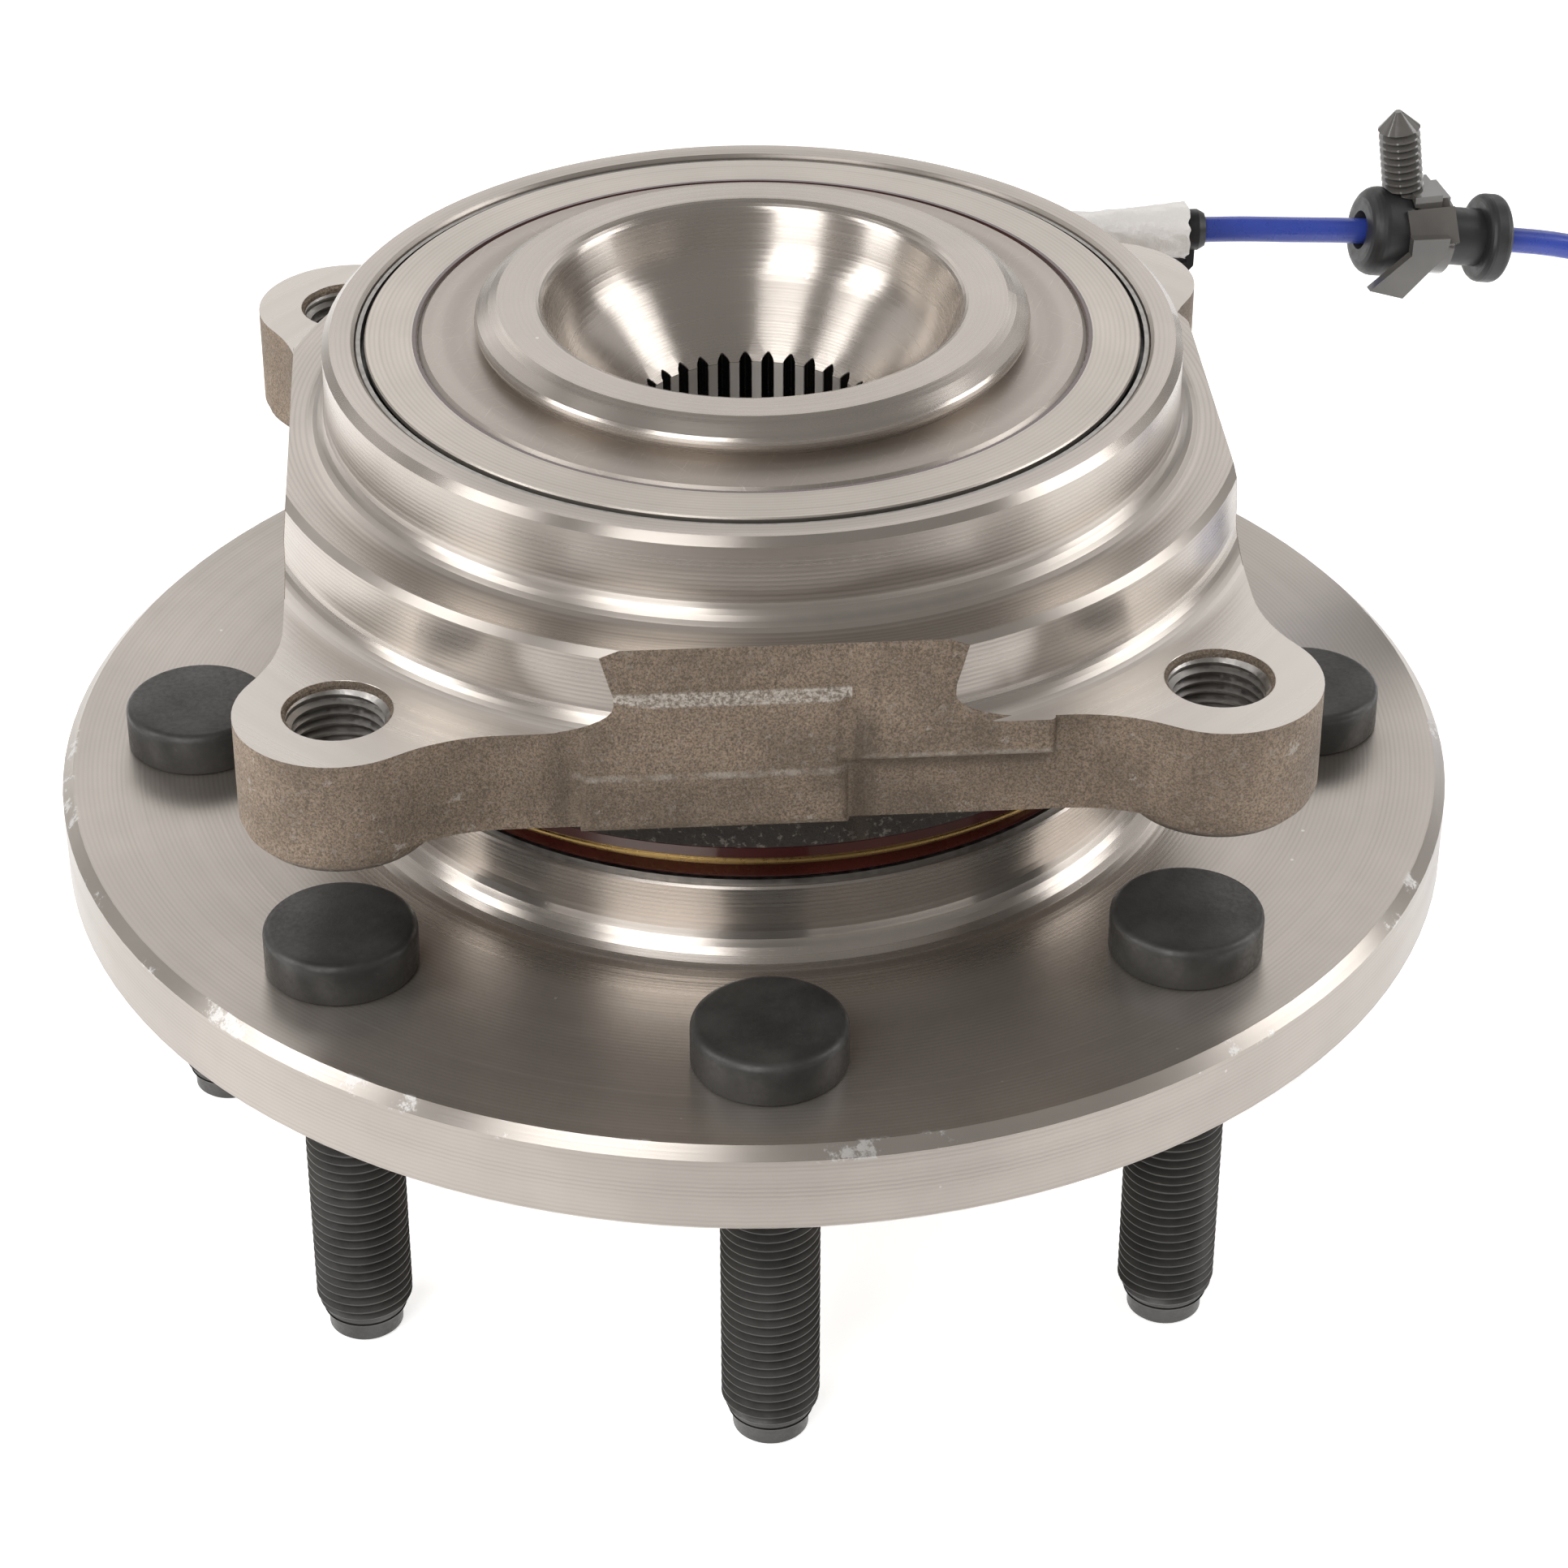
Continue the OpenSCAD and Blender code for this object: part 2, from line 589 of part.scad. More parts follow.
thrower_z = flange_z + boss_h;
thrower_top = thrower_z + thrower_t;
lip_reach_r = boss_d / 2 - 1.1;
inner_lip_r = seat_r + 1.2;

module seal_lip_outboard() color([0.2, 0.08, 0.07]) rotate_extrude() polygon([
    [case_r - case_wall, outer_plate_z], [case_r - case_wall, gold_low - 0.2],
    [lip_reach_r - 0.8, thrower_top + 1.3], [lip_reach_r, thrower_top + 0.6],
    [lip_reach_r - 0.1, thrower_top + 0.3], [lip_reach_r - 1, thrower_top + 0.3],
    [inner_lip_r + 3.1, gold_low - 0.3], [inner_lip_r + 1.1, gold_low - 1.2],
    [inner_lip_r, thrower_top + 1.2], [inner_lip_r - 0.05, thrower_top + 2.4],
    [inner_lip_r + 1.3, gold_low + 2.4], [inner_lip_r + 0.9, outer_plate_z]]);

module slinger_outboard() color([0.3, 0.27, 0.24]) rotate_extrude() polygon([
    [seat_r, thrower_z], [boss_d / 2 - 0.9, thrower_z], [boss_d / 2 - 0.9, thrower_top],
    [seat_r + thrower_t, thrower_top], [seat_r + thrower_t, foot - 1.4], [seat_r, foot - 1.4]]);

// Speed sensor. These modules draw along +Z and are laid along +Y.

module along_sensor() translate([0, 0, mid]) rotate([-90, 0, 0]) children();

head_end = lead_y + 5.2;
tip_from = tone_r + sensor_gap;
neck_r = sensor_d / 2;

module sensor_body() color([0.08, 0.08, 0.09]) difference() {
    union() {
        along_sensor() {
            translate([0, 0, sensor_bore_end + 0.3]) cylinder(h = seat_y - sensor_bore_end, r = neck_r);
            translate([0, 0, seat_y]) {
                cylinder(h = sensor_flange_t, r = sensor_head_r + 1.2);
                translate([-sensor_screw_x, 0, 0]) cylinder(h = sensor_flange_t, r = sensor_tab_r);
                translate([-sensor_screw_x, -sensor_tab_r, 0])
                    cube([sensor_screw_x, 2 * sensor_tab_r, sensor_flange_t]);
            }
            translate([0, 0, seat_y + sensor_flange_t - 0.1])
                cylinder(h = head_end - seat_y - sensor_flange_t - 1, r = sensor_head_r);
            translate([0, 0, head_end - 1.1]) cylinder(h = 1.1, r1 = sensor_head_r, r2 = sensor_head_r - 1.1);
        }
        translate([0, lead_y, lead_head_z]) rotate([0, 90, 0]) cylinder(h = sleeve_from, r = 3.9);
    }
    along_sensor() {
        // Groove for the sealing ring, seat of the tip, and eye for the screw
        translate([0, 0, seat_y - 4.4]) difference() {
            cylinder(h = 2.2, r = neck_r + 1);
            translate([0, 0, -1]) cylinder(h = 4.2, r = neck_r - 1.5);
        }
        translate([0, 0, sensor_bore_end - 1]) cylinder(h = 5, r = sensor_tip_d / 2);
        translate([-sensor_screw_x, 0, seat_y - 1]) cylinder(h = 5, r = 4.1);
    }
    translate([sleeve_from - 7, lead_y, lead_head_z]) rotate([0, 90, 0]) cylinder(h = 20, r = lead_r);
}

module sensor_tip() color([0.55, 0.55, 0.55]) along_sensor()
    translate([0, 0, tip_from]) {
        cylinder(h = 0.6, r1 = sensor_tip_d / 2 - 0.6, r2 = sensor_tip_d / 2);
        translate([0, 0, 0.6]) cylinder(h = sensor_bore_end + 4 - tip_from - 0.6, r = sensor_tip_d / 2);
    }

module sensor_o_ring() color([0.06, 0.06, 0.06]) along_sensor()
    translate([0, 0, seat_y - 3.3]) rotate_extrude() translate([neck_r - 0.72, 0]) circle(0.76, $fn = 24);

module sensor_bush() color([0.7, 0.65, 0.45]) along_sensor() translate([-sensor_screw_x, 0, seat_y])
    difference() {
        cylinder(h = sensor_flange_t, r = 4.1);
        translate([0, 0, -1]) cylinder(h = 5, r = 2.9);
    }

module sensor_screw() color([0.6, 0.6, 0.6]) along_sensor()
    translate([-sensor_screw_x, 0, seat_y + sensor_flange_t]) difference() {
        union() {
            cylinder(h = 0.8, r = 5.4);
            cylinder(h = 4.2, r = 4.6, $fn = 6);
            translate([0, 0, -10.5]) cylinder(h = 11, r = 2.5);
        }
        translate([0, 0, 3.4]) cylinder(h = 2, r = 2.2);
    }

// Lead, sleeve and what sits on them. The sleeve is laid on the line from the head to the boot.

sleeve_start = [sleeve_from, lead_y, lead_head_z];
boot_start = [sleeve_to, lead_y, lead_route[0][2] + 0.1];
sleeve_dip = atan((sleeve_start[2] - boot_start[2]) / (sleeve_to - sleeve_from));
sleeve_l = norm(boot_start - sleeve_start);
boot_l = boot_to - sleeve_to;

module along_sleeve() translate(sleeve_start) rotate([0, 90 + sleeve_dip, 0]) children();

module sleeve_lead() color([0.12, 0.2, 0.6]) along_sleeve() cylinder(h = sleeve_l, r = lead_r, $fn = 32);

module foil_sleeve() color([0.82, 0.82, 0.8]) along_sleeve() difference() {
    wall = 0.7;
    narrow = 3.4;
    wide = sleeve_d / 2;
    flare = 14;
    rotate_extrude() polygon([[0, 0], [narrow - 0.3, 0], [narrow, sleeve_l - flare],
        [wide, sleeve_l - 1], [wide - 0.2, sleeve_l - 0.4], [0, sleeve_l - 0.4]]);
    translate([0, 0, -1]) cylinder(h = sleeve_l - 7, r = narrow - wall);
    cylinder(h = sleeve_l + 1, r = lead_r + 0.1);
}

tie_w = 3.4;
tie_low = sleeve_d / 2 + 0.15;

module sleeve_boot() color([0.05, 0.05, 0.05]) along_sleeve() translate([0, 0, sleeve_l]) difference() {
    union() {
        cylinder(h = boot_l * 0.6, r = 3.3);
        translate([0, 0, boot_l * 0.6]) cylinder(h = boot_l * 0.4, r1 = 3.3, r2 = 2.7);
        // Head of the tie that holds the sleeve on the lead
        translate([0, tie_w / 2, 0]) rotate([90, 0, 0]) linear_extrude(tie_w)
            polygon([[2.7, 0], [2.7, 1.2], [5.6, 1.2], [6.6, 0.4], [6.4, -3.6],
                [tie_low, -3.2], [tie_low, 0]]);
    }
    translate([0, 0, -4]) cylinder(h = boot_l + 5, r = lead_r + 0.1);
}

module sensor_lead() color([0.12, 0.2, 0.6]) {
    tube(lead_route, lead_r, 10);
    tube(lead_end_route, lead_r, 10);
}

grommet_l = 24.4;
grommet_middle = [115.4, 83.7, 100.9];
grommet_dip = 10;
grommet_yaw = 9;
waist_r = grommet_d / 2 - 2.5;

module at_grommet() translate(grommet_middle) rotate([0, 0, grommet_yaw]) children();

module grommet() color([0.2, 0.2, 0.21]) at_grommet() rotate([0, 90 + grommet_dip, 0])
    translate([0, 0, -grommet_l / 2]) difference() {
        big = grommet_d / 2;
        rotate_extrude() polygon(concat([[0, 0], [big - 2.6, 0]],
            arc(big - 2.6, 2.6, 2.6, -90, 0, 6), arc(big - 1.4, 6.2, 1.4, 0, 90, 4),
            [[waist_r, 7.6], [waist_r, 20.4]],
            arc(big - 1.2, 21.6, 1.2, -90, 0, 4), arc(big - 1.2, grommet_l - 1.2, 1.2, 0, 90, 4),
            [[0, grommet_l]]));
        translate([0, 0, -1]) cylinder(h = grommet_l + 2, r = lead_r + 0.12);
        translate([0, 0, -0.1]) cylinder(h = 3, r1 = lead_r + 1.1, r2 = lead_r + 0.12);
    }

// Clip: a band round the grommet's waist with a buckle and a free tail in front,
// a stepped block on top, and a fir tree fastener that leans to the left
module clip() color([0.1, 0.1, 0.1]) at_grommet() {
    band_w = 6.4;
    band_x = -4.3;
    strap_t = 1.6;
    difference() {
        union() {
            rotate([0, 90 + grommet_dip, 0]) translate([0, 0, band_x])
                cylinder(h = band_w, r = waist_r + strap_t);
            translate([band_x, -4, 3.5]) cube([4.6, 8, 5.3]);
            translate([band_x + 4, -3.4, 3.5]) cube([2.2, 6.8, 4.5]);
            translate([band_x - 1.6, 0, 0]) rotate([-35, 0, 0]) translate([0, -grommet_d / 2 - 1, -3])
                cube([band_w + 1.6, 3.2, 6]);
            translate([-1.8, -grommet_d / 2 - 0.3, 0.5]) rotate([90, 0, 0]) linear_extrude(strap_t)
                polygon([[-4.3, 3.4], [2, 3], [1.6, 0], [-0.4, -1.8],
                    [-5.4, -6.9], [-11.1, -4.9], [-4.4, 0.6]]);
            translate([band_x - 0.4, 1, 8.1]) rotate([0, -8, 0]) fir_tree();
        }
        rotate([0, 90 + grommet_dip, 0]) {
            cylinder(h = grommet_l, r = waist_r + 0.02, center = true);
            // Clear of the grommet's thick end
            translate([0, 0, -grommet_l / 2]) cylinder(h = 7.75, r = grommet_d / 2 + 0.15);
        }
    }
}

module fir_tree() {
    stem_r = 2.2;
    fin_r = 3.4;
    fins = 8;
    pitch = 1.25;
    tip = fins * pitch + 0.6;
    rotate_extrude($fn = 32) polygon(concat([[0, -0.6], [fin_r, -0.6], [fin_r, 0.3]],
        [for (i = [0:fins - 1]) each [[stem_r, 0.6 + i * pitch], [fin_r, 0.9 + i * pitch],
            [fin_r - 0.1, 1.2 + i * pitch], [stem_r, 1.7 + i * pitch]]],
        [[fin_r, tip + 0.5], [0.6, tip + 3.4], [0, tip + 3.4]]));
}

// Coil of the spare lead, its tie, and the connector

module lead_coil() color([0.12, 0.2, 0.6]) translate([coil_x, coil_y, 0]) rotate_extrude() {
    for (i = [0:coil_turns - 1]) translate([coil_r, lead_r + i * lead_d]) circle(lead_r, $fn = 24);
    if (coil_turns > 1) translate([coil_r - lead_r * 0.7, lead_r])
        square([lead_d * 0.7, lead_d * (coil_turns - 1)]);
}

module coil_tie() color([0.08, 0.08, 0.08]) translate([coil_x, coil_y, 0]) rotate([0, 0, 35])
    translate([coil_r, 0, 0]) {
        high = lead_d * coil_turns;
        difference() {
            translate([-lead_r - 1, -2, 0]) cube([lead_d + 2, 4, high + 1]);
            translate([-lead_r - 0.05, -3, -1]) cube([lead_d + 0.1, 6, high + 1.02]);
        }
        translate([-lead_r - 2.2, -2.4, high + 1]) cube([5, 4.8, 2.2]);
    }

plug_end = lead_end_route[len(lead_end_route) - 1];
plug_turn = 180;
plug_h = 2 * plug_end[2];
seal_l = 6;

module along_plug() translate([plug_end[0], plug_end[1], 0]) rotate([0, 0, plug_turn]) children();

module plug_seal() color([0.12, 0.3, 0.6]) along_plug() translate([0, 0, plug_end[2]]) rotate([0, 90, 0])
    rotate_extrude() polygon([[0, 0], [3, 0], [3, 1], [3.8, 1.5], [3.8, 2.3], [3, 2.8], [3, 3.6], [3.8, 4.1],
        [3.8, 4.9], [3, 5.4], [3, seal_l], [0, seal_l]]);

module plug_shell(w, r) {
    hull() for (side = [-1, 1]) translate([0, side * (w / 2 - r), 0]) circle(r, $fn = 32);
}

plug_wall = 1.6;
socket_l = 15;

module plug_housing() color([0.2, 0.2, 0.2]) along_plug()
    translate([seal_l, 0, plug_h / 2]) rotate([0, 90, 0]) difference() {
        linear_extrude(plug_l) plug_shell(plug_w, plug_h / 2);
        translate([0, 0, plug_l - socket_l]) linear_extrude(socket_l + 1)
            plug_shell(plug_w - 2 * plug_wall, plug_h / 2 - plug_wall);
    }

module plug_latch() color([0.75, 0.75, 0.72]) along_plug() translate([seal_l + 6, -3.5, plug_h])
    difference() {
        cube([16, 7, 3]);
        translate([4, 1.5, -1]) cube([9, 4, 5]);
    }

module plug_terminals() color([0.75, 0.68, 0.45]) along_plug() for (side = [-1, 1])
    translate([seal_l + plug_l - socket_l, side * 2.6 - 0.8, plug_h / 2 - 0.8]) cube([9, 1.6, 1.6]);

outer_ring();
hub_flange();
wheel_studs();
inner_ring_inboard();
inner_ring_outboard();
tone_ring();
rollers_inboard();
rollers_outboard();
cage_inboard();
cage_outboard();
seal_case_inboard();
seal_lip_inboard();
slinger_inboard();
slinger_bead();
seal_case_outboard();
seal_lip_outboard();
seal_gasket();
slinger_outboard();
sensor_body();
sensor_tip();
sensor_o_ring();
sensor_bush();
sensor_screw();
sleeve_lead();
foil_sleeve();
sleeve_boot();
sensor_lead();
grommet();
clip();
lead_coil();
coil_tie();
plug_housing();
plug_seal();
plug_latch();
plug_terminals();
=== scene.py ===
"""Looks of the wheel hub and bearing unit: studio, materials, and pieces with more detail than the CAD has.

Everything is in metres in the frame's own axes: +Z along the hub's axis, the stud tips at z = 0.
"""

import math

import bmesh
import bpy
from mathutils import Matrix, Vector, noise


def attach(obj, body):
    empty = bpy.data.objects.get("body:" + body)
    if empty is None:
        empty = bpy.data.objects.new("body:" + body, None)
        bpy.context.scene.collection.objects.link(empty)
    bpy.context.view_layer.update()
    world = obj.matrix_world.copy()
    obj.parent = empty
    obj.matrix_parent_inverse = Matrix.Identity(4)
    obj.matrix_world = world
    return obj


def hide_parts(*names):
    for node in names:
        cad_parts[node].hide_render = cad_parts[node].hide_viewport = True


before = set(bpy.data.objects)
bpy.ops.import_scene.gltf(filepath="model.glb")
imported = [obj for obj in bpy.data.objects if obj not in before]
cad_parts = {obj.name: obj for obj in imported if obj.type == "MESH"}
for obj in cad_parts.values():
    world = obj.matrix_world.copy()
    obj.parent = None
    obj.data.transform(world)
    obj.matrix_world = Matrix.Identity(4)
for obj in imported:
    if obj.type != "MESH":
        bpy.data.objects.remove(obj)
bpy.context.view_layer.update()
MM = 0.001

# Camera

CAMERA_PLACE = Vector((-0.03358, -0.54730, 0.41372))
CAMERA_YAW = 0.0694
CAMERA_PITCH = 0.5807
CAMERA_LENS = 99.69
SENSOR_WIDTH = 36.0
NEAR_CLIP = 0.01
FAR_CLIP = 60.0


def make_camera():
    data = bpy.data.cameras.new("camera")
    data.lens = CAMERA_LENS
    data.sensor_width = SENSOR_WIDTH
    data.clip_start = NEAR_CLIP
    data.clip_end = FAR_CLIP
    camera = bpy.data.objects.new("camera", data)
    bpy.context.scene.collection.objects.link(camera)
    forward = Vector((math.sin(CAMERA_YAW) * math.cos(CAMERA_PITCH),
                      math.cos(CAMERA_YAW) * math.cos(CAMERA_PITCH),
                      -math.sin(CAMERA_PITCH)))
    camera.location = CAMERA_PLACE
    camera.rotation_mode = "QUATERNION"
    camera.rotation_quaternion = forward.to_track_quat("-Z", "Y")
    bpy.context.scene.camera = camera


# Node materials


class Shader:
    """A node tree under construction, with short calls for the nodes that the materials share."""

    def __init__(self, name):
        self.material = bpy.data.materials.new(name)
        self.material.use_nodes = True
        self.tree = self.material.node_tree
        self.tree.nodes.clear()
        self.out = self.add("ShaderNodeOutputMaterial")
        self.surface = self.add("ShaderNodeBsdfPrincipled")
        self.link(self.surface.outputs[0], self.out.inputs[0])
        places = self.add("ShaderNodeTexCoord")
        self.place = places.outputs["Object"]
        self.facing = places.outputs["Normal"]

    def add(self, kind):
        return self.tree.nodes.new(kind)

    def link(self, source, target):
        self.tree.links.new(source, target)

    def put(self, socket, value):
        if isinstance(value, bpy.types.NodeSocket):
            self.link(value, socket)
        else:
            socket.default_value = value

    def set(self, **values):
        for name, value in values.items():
            self.put(self.surface.inputs[name.replace("_", " ")], value)

    def math(self, operation, a, b=0.0):
        node = self.add("ShaderNodeMath")
        node.operation = operation
        for socket, value in zip(node.inputs, (a, b)):
            self.put(socket, value)
        return node.outputs[0]

    def plus(self, a, b):
        return self.math("ADD", a, b)

    def minus(self, a, b):
        return self.math("SUBTRACT", a, b)

    def larger(self, a, b):
        return self.math("MAXIMUM", a, b)

    def is_above(self, a, b):
        return self.math("GREATER_THAN", a, b)

    def is_below(self, a, b):
        return self.math("LESS_THAN", a, b)

    def product(self, first, *others):
        result = first
        for other in others:
            result = self.math("MULTIPLY", result, other)
        return result

    def xyz(self, vector=None):
        node = self.add("ShaderNodeSeparateXYZ")
        self.link(vector or self.place, node.inputs[0])
        return node.outputs

    def vector(self, x, y, z):
        node = self.add("ShaderNodeCombineXYZ")
        for socket, value in zip(node.inputs, (x, y, z)):
            self.put(socket, value)
        return node.outputs[0]

    def noise(self, scale, detail=3.0, rough=0.55, distort=0.0, at=None):
        node = self.add("ShaderNodeTexNoise")
        self.link(at or self.place, node.inputs["Vector"])
        node.inputs["Scale"].default_value = scale
        node.inputs["Detail"].default_value = detail
        node.inputs["Roughness"].default_value = rough
        node.inputs["Distortion"].default_value = distort
        return node.outputs["Fac"]

    def cells(self, scale):
        node = self.add("ShaderNodeTexVoronoi")
        self.link(self.place, node.inputs["Vector"])
        node.inputs["Scale"].default_value = scale
        return node.outputs["Distance"]

    def span(self, value, low, high, to_low=0.0, to_high=1.0):
        """A smooth step: to_low where the value is at most low, and to_high where it is at least high."""
        node = self.add("ShaderNodeMapRange")
        node.interpolation_type = "SMOOTHSTEP"
        for socket, number in zip(node.inputs[:5], (value, low, high, to_low, to_high)):
            self.put(socket, number)
        return node.outputs[0]

    def fade(self, place, low, high, to_low, to_high):
        """The same step for a place, with low and high in millimetres."""
        return self.span(place, low * MM, high * MM, to_low, to_high)

    def rise(self, place, low, high):
        return self.fade(place, low, high, 0.0, 1.0)

    def drop(self, place, low, high):
        return self.fade(place, low, high, 1.0, 0.0)

    def band(self, place, rise_from, rise_to, drop_from, drop_to):
        """1 from rise_to to drop_from, and fading to 0 on both sides, all in millimetres."""
        return self.product(self.rise(place, rise_from, rise_to), self.drop(place, drop_from, drop_to))

    def mix(self, share, a, b, data_type, first, result):
        node = self.add("ShaderNodeMix")
        node.data_type = data_type
        self.put(node.inputs["Factor"], share)
        for socket, value in zip((node.inputs[first], node.inputs[first + 1]), (a, b)):
            self.put(socket, value if isinstance(value, bpy.types.NodeSocket) else (*value, 1.0))
        return node.outputs[result]

    def blend(self, share, a, b):
        """Colour a where the share is 0 and colour b where it is 1."""
        return self.mix(share, a, b, "RGBA", 6, 2)

    def blend_normals(self, share, a, b):
        return self.mix(share, a, b, "VECTOR", 4, 1)

    def bump(self, height, distance, strength=1.0, under=None):
        node = self.add("ShaderNodeBump")
        node.inputs["Strength"].default_value = strength
        node.inputs["Distance"].default_value = distance
        self.link(height, node.inputs["Height"])
        if under is not None:
            self.link(under, node.inputs["Normal"])
        return node.outputs[0]

    def round_axis(self):
        """Distance from the hub's axis, angle round it, and height, as outputs."""
        x, y, z = self.xyz()
        radius = self.math("SQRT", self.plus(self.product(x, x), self.product(y, y)))
        return radius, self.math("ARCTAN2", y, x), z

    def around(self):
        node = self.add("ShaderNodeTangent")
        node.direction_type = "RADIAL"
        node.axis = "Z"
        return node.outputs[0]


def shade_of(color, share):
    return tuple(channel * share for channel in color)


STEEL = (0.55, 0.503, 0.458)
BRIGHT_STEEL = (0.62, 0.57, 0.515)
FORGED = (0.430, 0.336, 0.254)

# Turned steel: fine grooves, the tool's feed, how far highlights stretch, and where the feed's marks set in

GROOVE_PITCH = 0.35 * MM
GROOVE_DEPTH = 0.006 * MM
FEED = 0.7 * MM
STRETCH = 0.7
STEEL_METALLIC = 0.9
QUARTER_TURN = 0.25
ANGLE_DRIFT = 0.06 * MM
SLOW_SHARE = 0.12
LIP_EDGE_R = (36.0, 42.0)


def turned_marks(shader, pitch=GROOVE_PITCH):
    """Fine grooves round the axis, a slower change across them, and the even marks of the tool's feed."""
    radius, angle, z = shader.round_axis()
    across = shader.vector(radius, z, shader.product(angle, ANGLE_DRIFT))
    fine = shader.noise(1.0 / pitch, detail=1.5, rough=0.5, at=across)
    coarse = shader.noise(SLOW_SHARE / pitch, detail=2.0, rough=0.5, at=across)
    wave = shader.math("SINE", shader.product(shader.plus(radius, z), 2 * math.pi / FEED))
    in_patches = shader.span(coarse, 0.35, 0.65, 0.35, 1.0)
    past_lip = shader.fade(radius, *LIP_EDGE_R, 0.2, 1.0)
    return fine, coarse, shader.product(wave, shader.product(in_patches, past_lip))


def turned_tone(shader, color, feed, stain_scale):
    """The steel's colour with slow stains, darker in the marks of the feed."""
    stain = shader.noise(stain_scale, detail=4.0, rough=0.6)
    tone = shader.blend(shader.span(stain, 0.35, 0.7), shade_of(color, 0.88), color)
    return shader.blend(shader.span(feed, -1.0, 0.4, 0.3, 0.0), tone, shade_of(color, 0.45))


def turned_steel(name, color, roughness, pitch=GROOVE_PITCH, groove=GROOVE_DEPTH, stretch=STRETCH,
                 is_hub=False):
    """Steel turned on a lathe: its highlights fan out from the axis."""
    shader = Shader(name)
    fine, coarse, feed = turned_marks(shader, pitch)
    if is_hub:
        feed = shader.product(feed, shader.fade(shader.round_axis()[0], *FLANGE_FROM_R, 1.0, 0.5))
    tone = turned_tone(shader, color, feed, 28.0)
    marks = shader.plus(shader.product(fine, 0.6), shader.product(coarse, 0.4))
    rough = shader.span(marks, 0.3, 0.7, roughness * 0.88, roughness * 1.12)
    metal = STEEL_METALLIC
    if is_hub:
        tone, rough, metal = hub_wear_and_groove_shade(shader, tone, rough, metal)
    shader.set(Base_Color=tone, Metallic=metal, Roughness=rough,
               Anisotropic=stretch, Anisotropic_Rotation=QUARTER_TURN, Tangent=shader.around(),
               Normal=shader.bump(shader.plus(fine, feed), groove, 0.8))
    return shader.material


# Hub: the spline in the bowl, and the flange with its rim. Over each pair, in millimetres, a look fades

SPLINE_TIP_R = 16.95 * MM
SPLINE_TOP = 116.8 * MM
SPLINE_RUN_OUT = 118.6 * MM
BOWL_SLOPE = 0.897
BEHIND_WALL = (0.1, 0.25)
GROOVE_END_R = (18.5, 18.7)
LAND_END_R = (17.05, 17.15)
FLANGE_FROM_R = (66.0, 72.0)
FLANGE_EDGE_R = (100.6, 101.2)
FLANGE_EDGE_Z = (61.8, 62.4)
FLANGE_FACE_Z = (64.5, 66.0)
RIM_R = (102.55, 102.65)
RIM_Z = (62.0, 62.6)
GROOVE_SHADE = (0.012, 0.012, 0.013)
LAND_TONE = (0.74, 0.70, 0.66)
BARE_TONE = (0.80, 0.78, 0.76)
BLACK = (0.0, 0.0, 0.0)


def hub_wear_and_groove_shade(shader, tone, rough, metal):
    """Painted shade in the spline grooves, pale lands, nicks on the flange's edge, specks, and a duller
    flange and rim.
    """
    radius, _, z = shader.round_axis()
    bowl_wall = shader.product(shader.larger(0.0, shader.minus(z, SPLINE_TOP)), BOWL_SLOPE)
    behind_wall = shader.minus(shader.minus(radius, SPLINE_TIP_R), bowl_wall)
    in_groove = shader.product(shader.rise(behind_wall, *BEHIND_WALL), shader.drop(radius, *GROOVE_END_R),
                               shader.is_below(z, SPLINE_RUN_OUT))
    # Painted shade: the spline's grooves are drawn nearly black.
    tone = shader.blend(shader.product(in_groove, 0.97), tone, GROOVE_SHADE)
    land = shader.product(shader.drop(radius, *LAND_END_R), shader.is_below(z, SPLINE_TOP - 0.1 * MM))
    tone = shader.blend(land, tone, LAND_TONE)

    edge = shader.product(shader.rise(radius, *FLANGE_EDGE_R), shader.rise(z, *FLANGE_EDGE_Z))
    nicks = shader.product(edge, shader.span(shader.noise(95.0, detail=6.0, rough=0.75), 0.58, 0.64))
    specks = shader.span(shader.cells(190.0), 0.035, 0.06, 1.0, 0.0)
    specks = shader.product(specks, shader.span(shader.noise(70.0, detail=2.0), 0.52, 0.6))
    tone = shader.blend(shader.larger(nicks, shader.product(specks, 0.7)), tone, BARE_TONE)

    face = shader.product(shader.rise(radius, *FLANGE_FROM_R), shader.drop(z, *FLANGE_FACE_Z))
    rim = shader.product(shader.rise(radius, *RIM_R), shader.drop(z, *RIM_Z))
    tone = shader.blend(shader.product(rim, 0.13), tone, BLACK)
    rough = shader.plus(rough, shader.product(land, 0.25))
    rough = shader.plus(rough, shader.product(nicks, 0.2))
    rough = shader.plus(rough, shader.product(face, 0.05))
    return tone, rough, shader.minus(metal, shader.product(face, 0.08))


# Outer ring: where it is still raw

FLAT_FROM_AXIS = 66.6 * MM
FLAT_DRAFT = 0.105
DRAFT_FROM = 112.0 * MM
RAW_BELOW = 106.75 * MM
SHOULDER = 118.68 * MM
RING_INSIDE_R = 57.5 * MM

# Bands on the outer ring, in millimetres: each rises over its first two places and drops over its last two. A
# pair only rises or drops

BLOCK_X = (-29.2, -26.2, 7.8, 10.8)
BLOCK_LEFT_X = (-33.5, -30.0, -29.6, -27.6)
BLOCK_RIGHT_X = (8.2, 9.8, 10.4, 13.5)
BLOCK_TOP_Z = (109.6, 111.3)
BLOCK_EDGE_Z = (99.4, 100.0, 100.4, 101.0)
RAIL_X = (9.5, 11.5, 34.0, 37.5)
RAIL_FOOT_Z = (98.5, 100.5, 100.8, 101.6)
RAIL_BROW_Z = (101.2, 101.7, 102.1, 102.7)
SHELF_Z = (110.8, 111.3, 112.1, 112.6)
SHELF_FROM_X = -27.3 * MM
SHELF_TO_X = 8.8 * MM
EAR_TOP_Z = (106.6, 106.7, 106.9, 108.0)
SHADE_Z = (106.0, 111.2)
CREASE_Z = (99.6, 101.0)
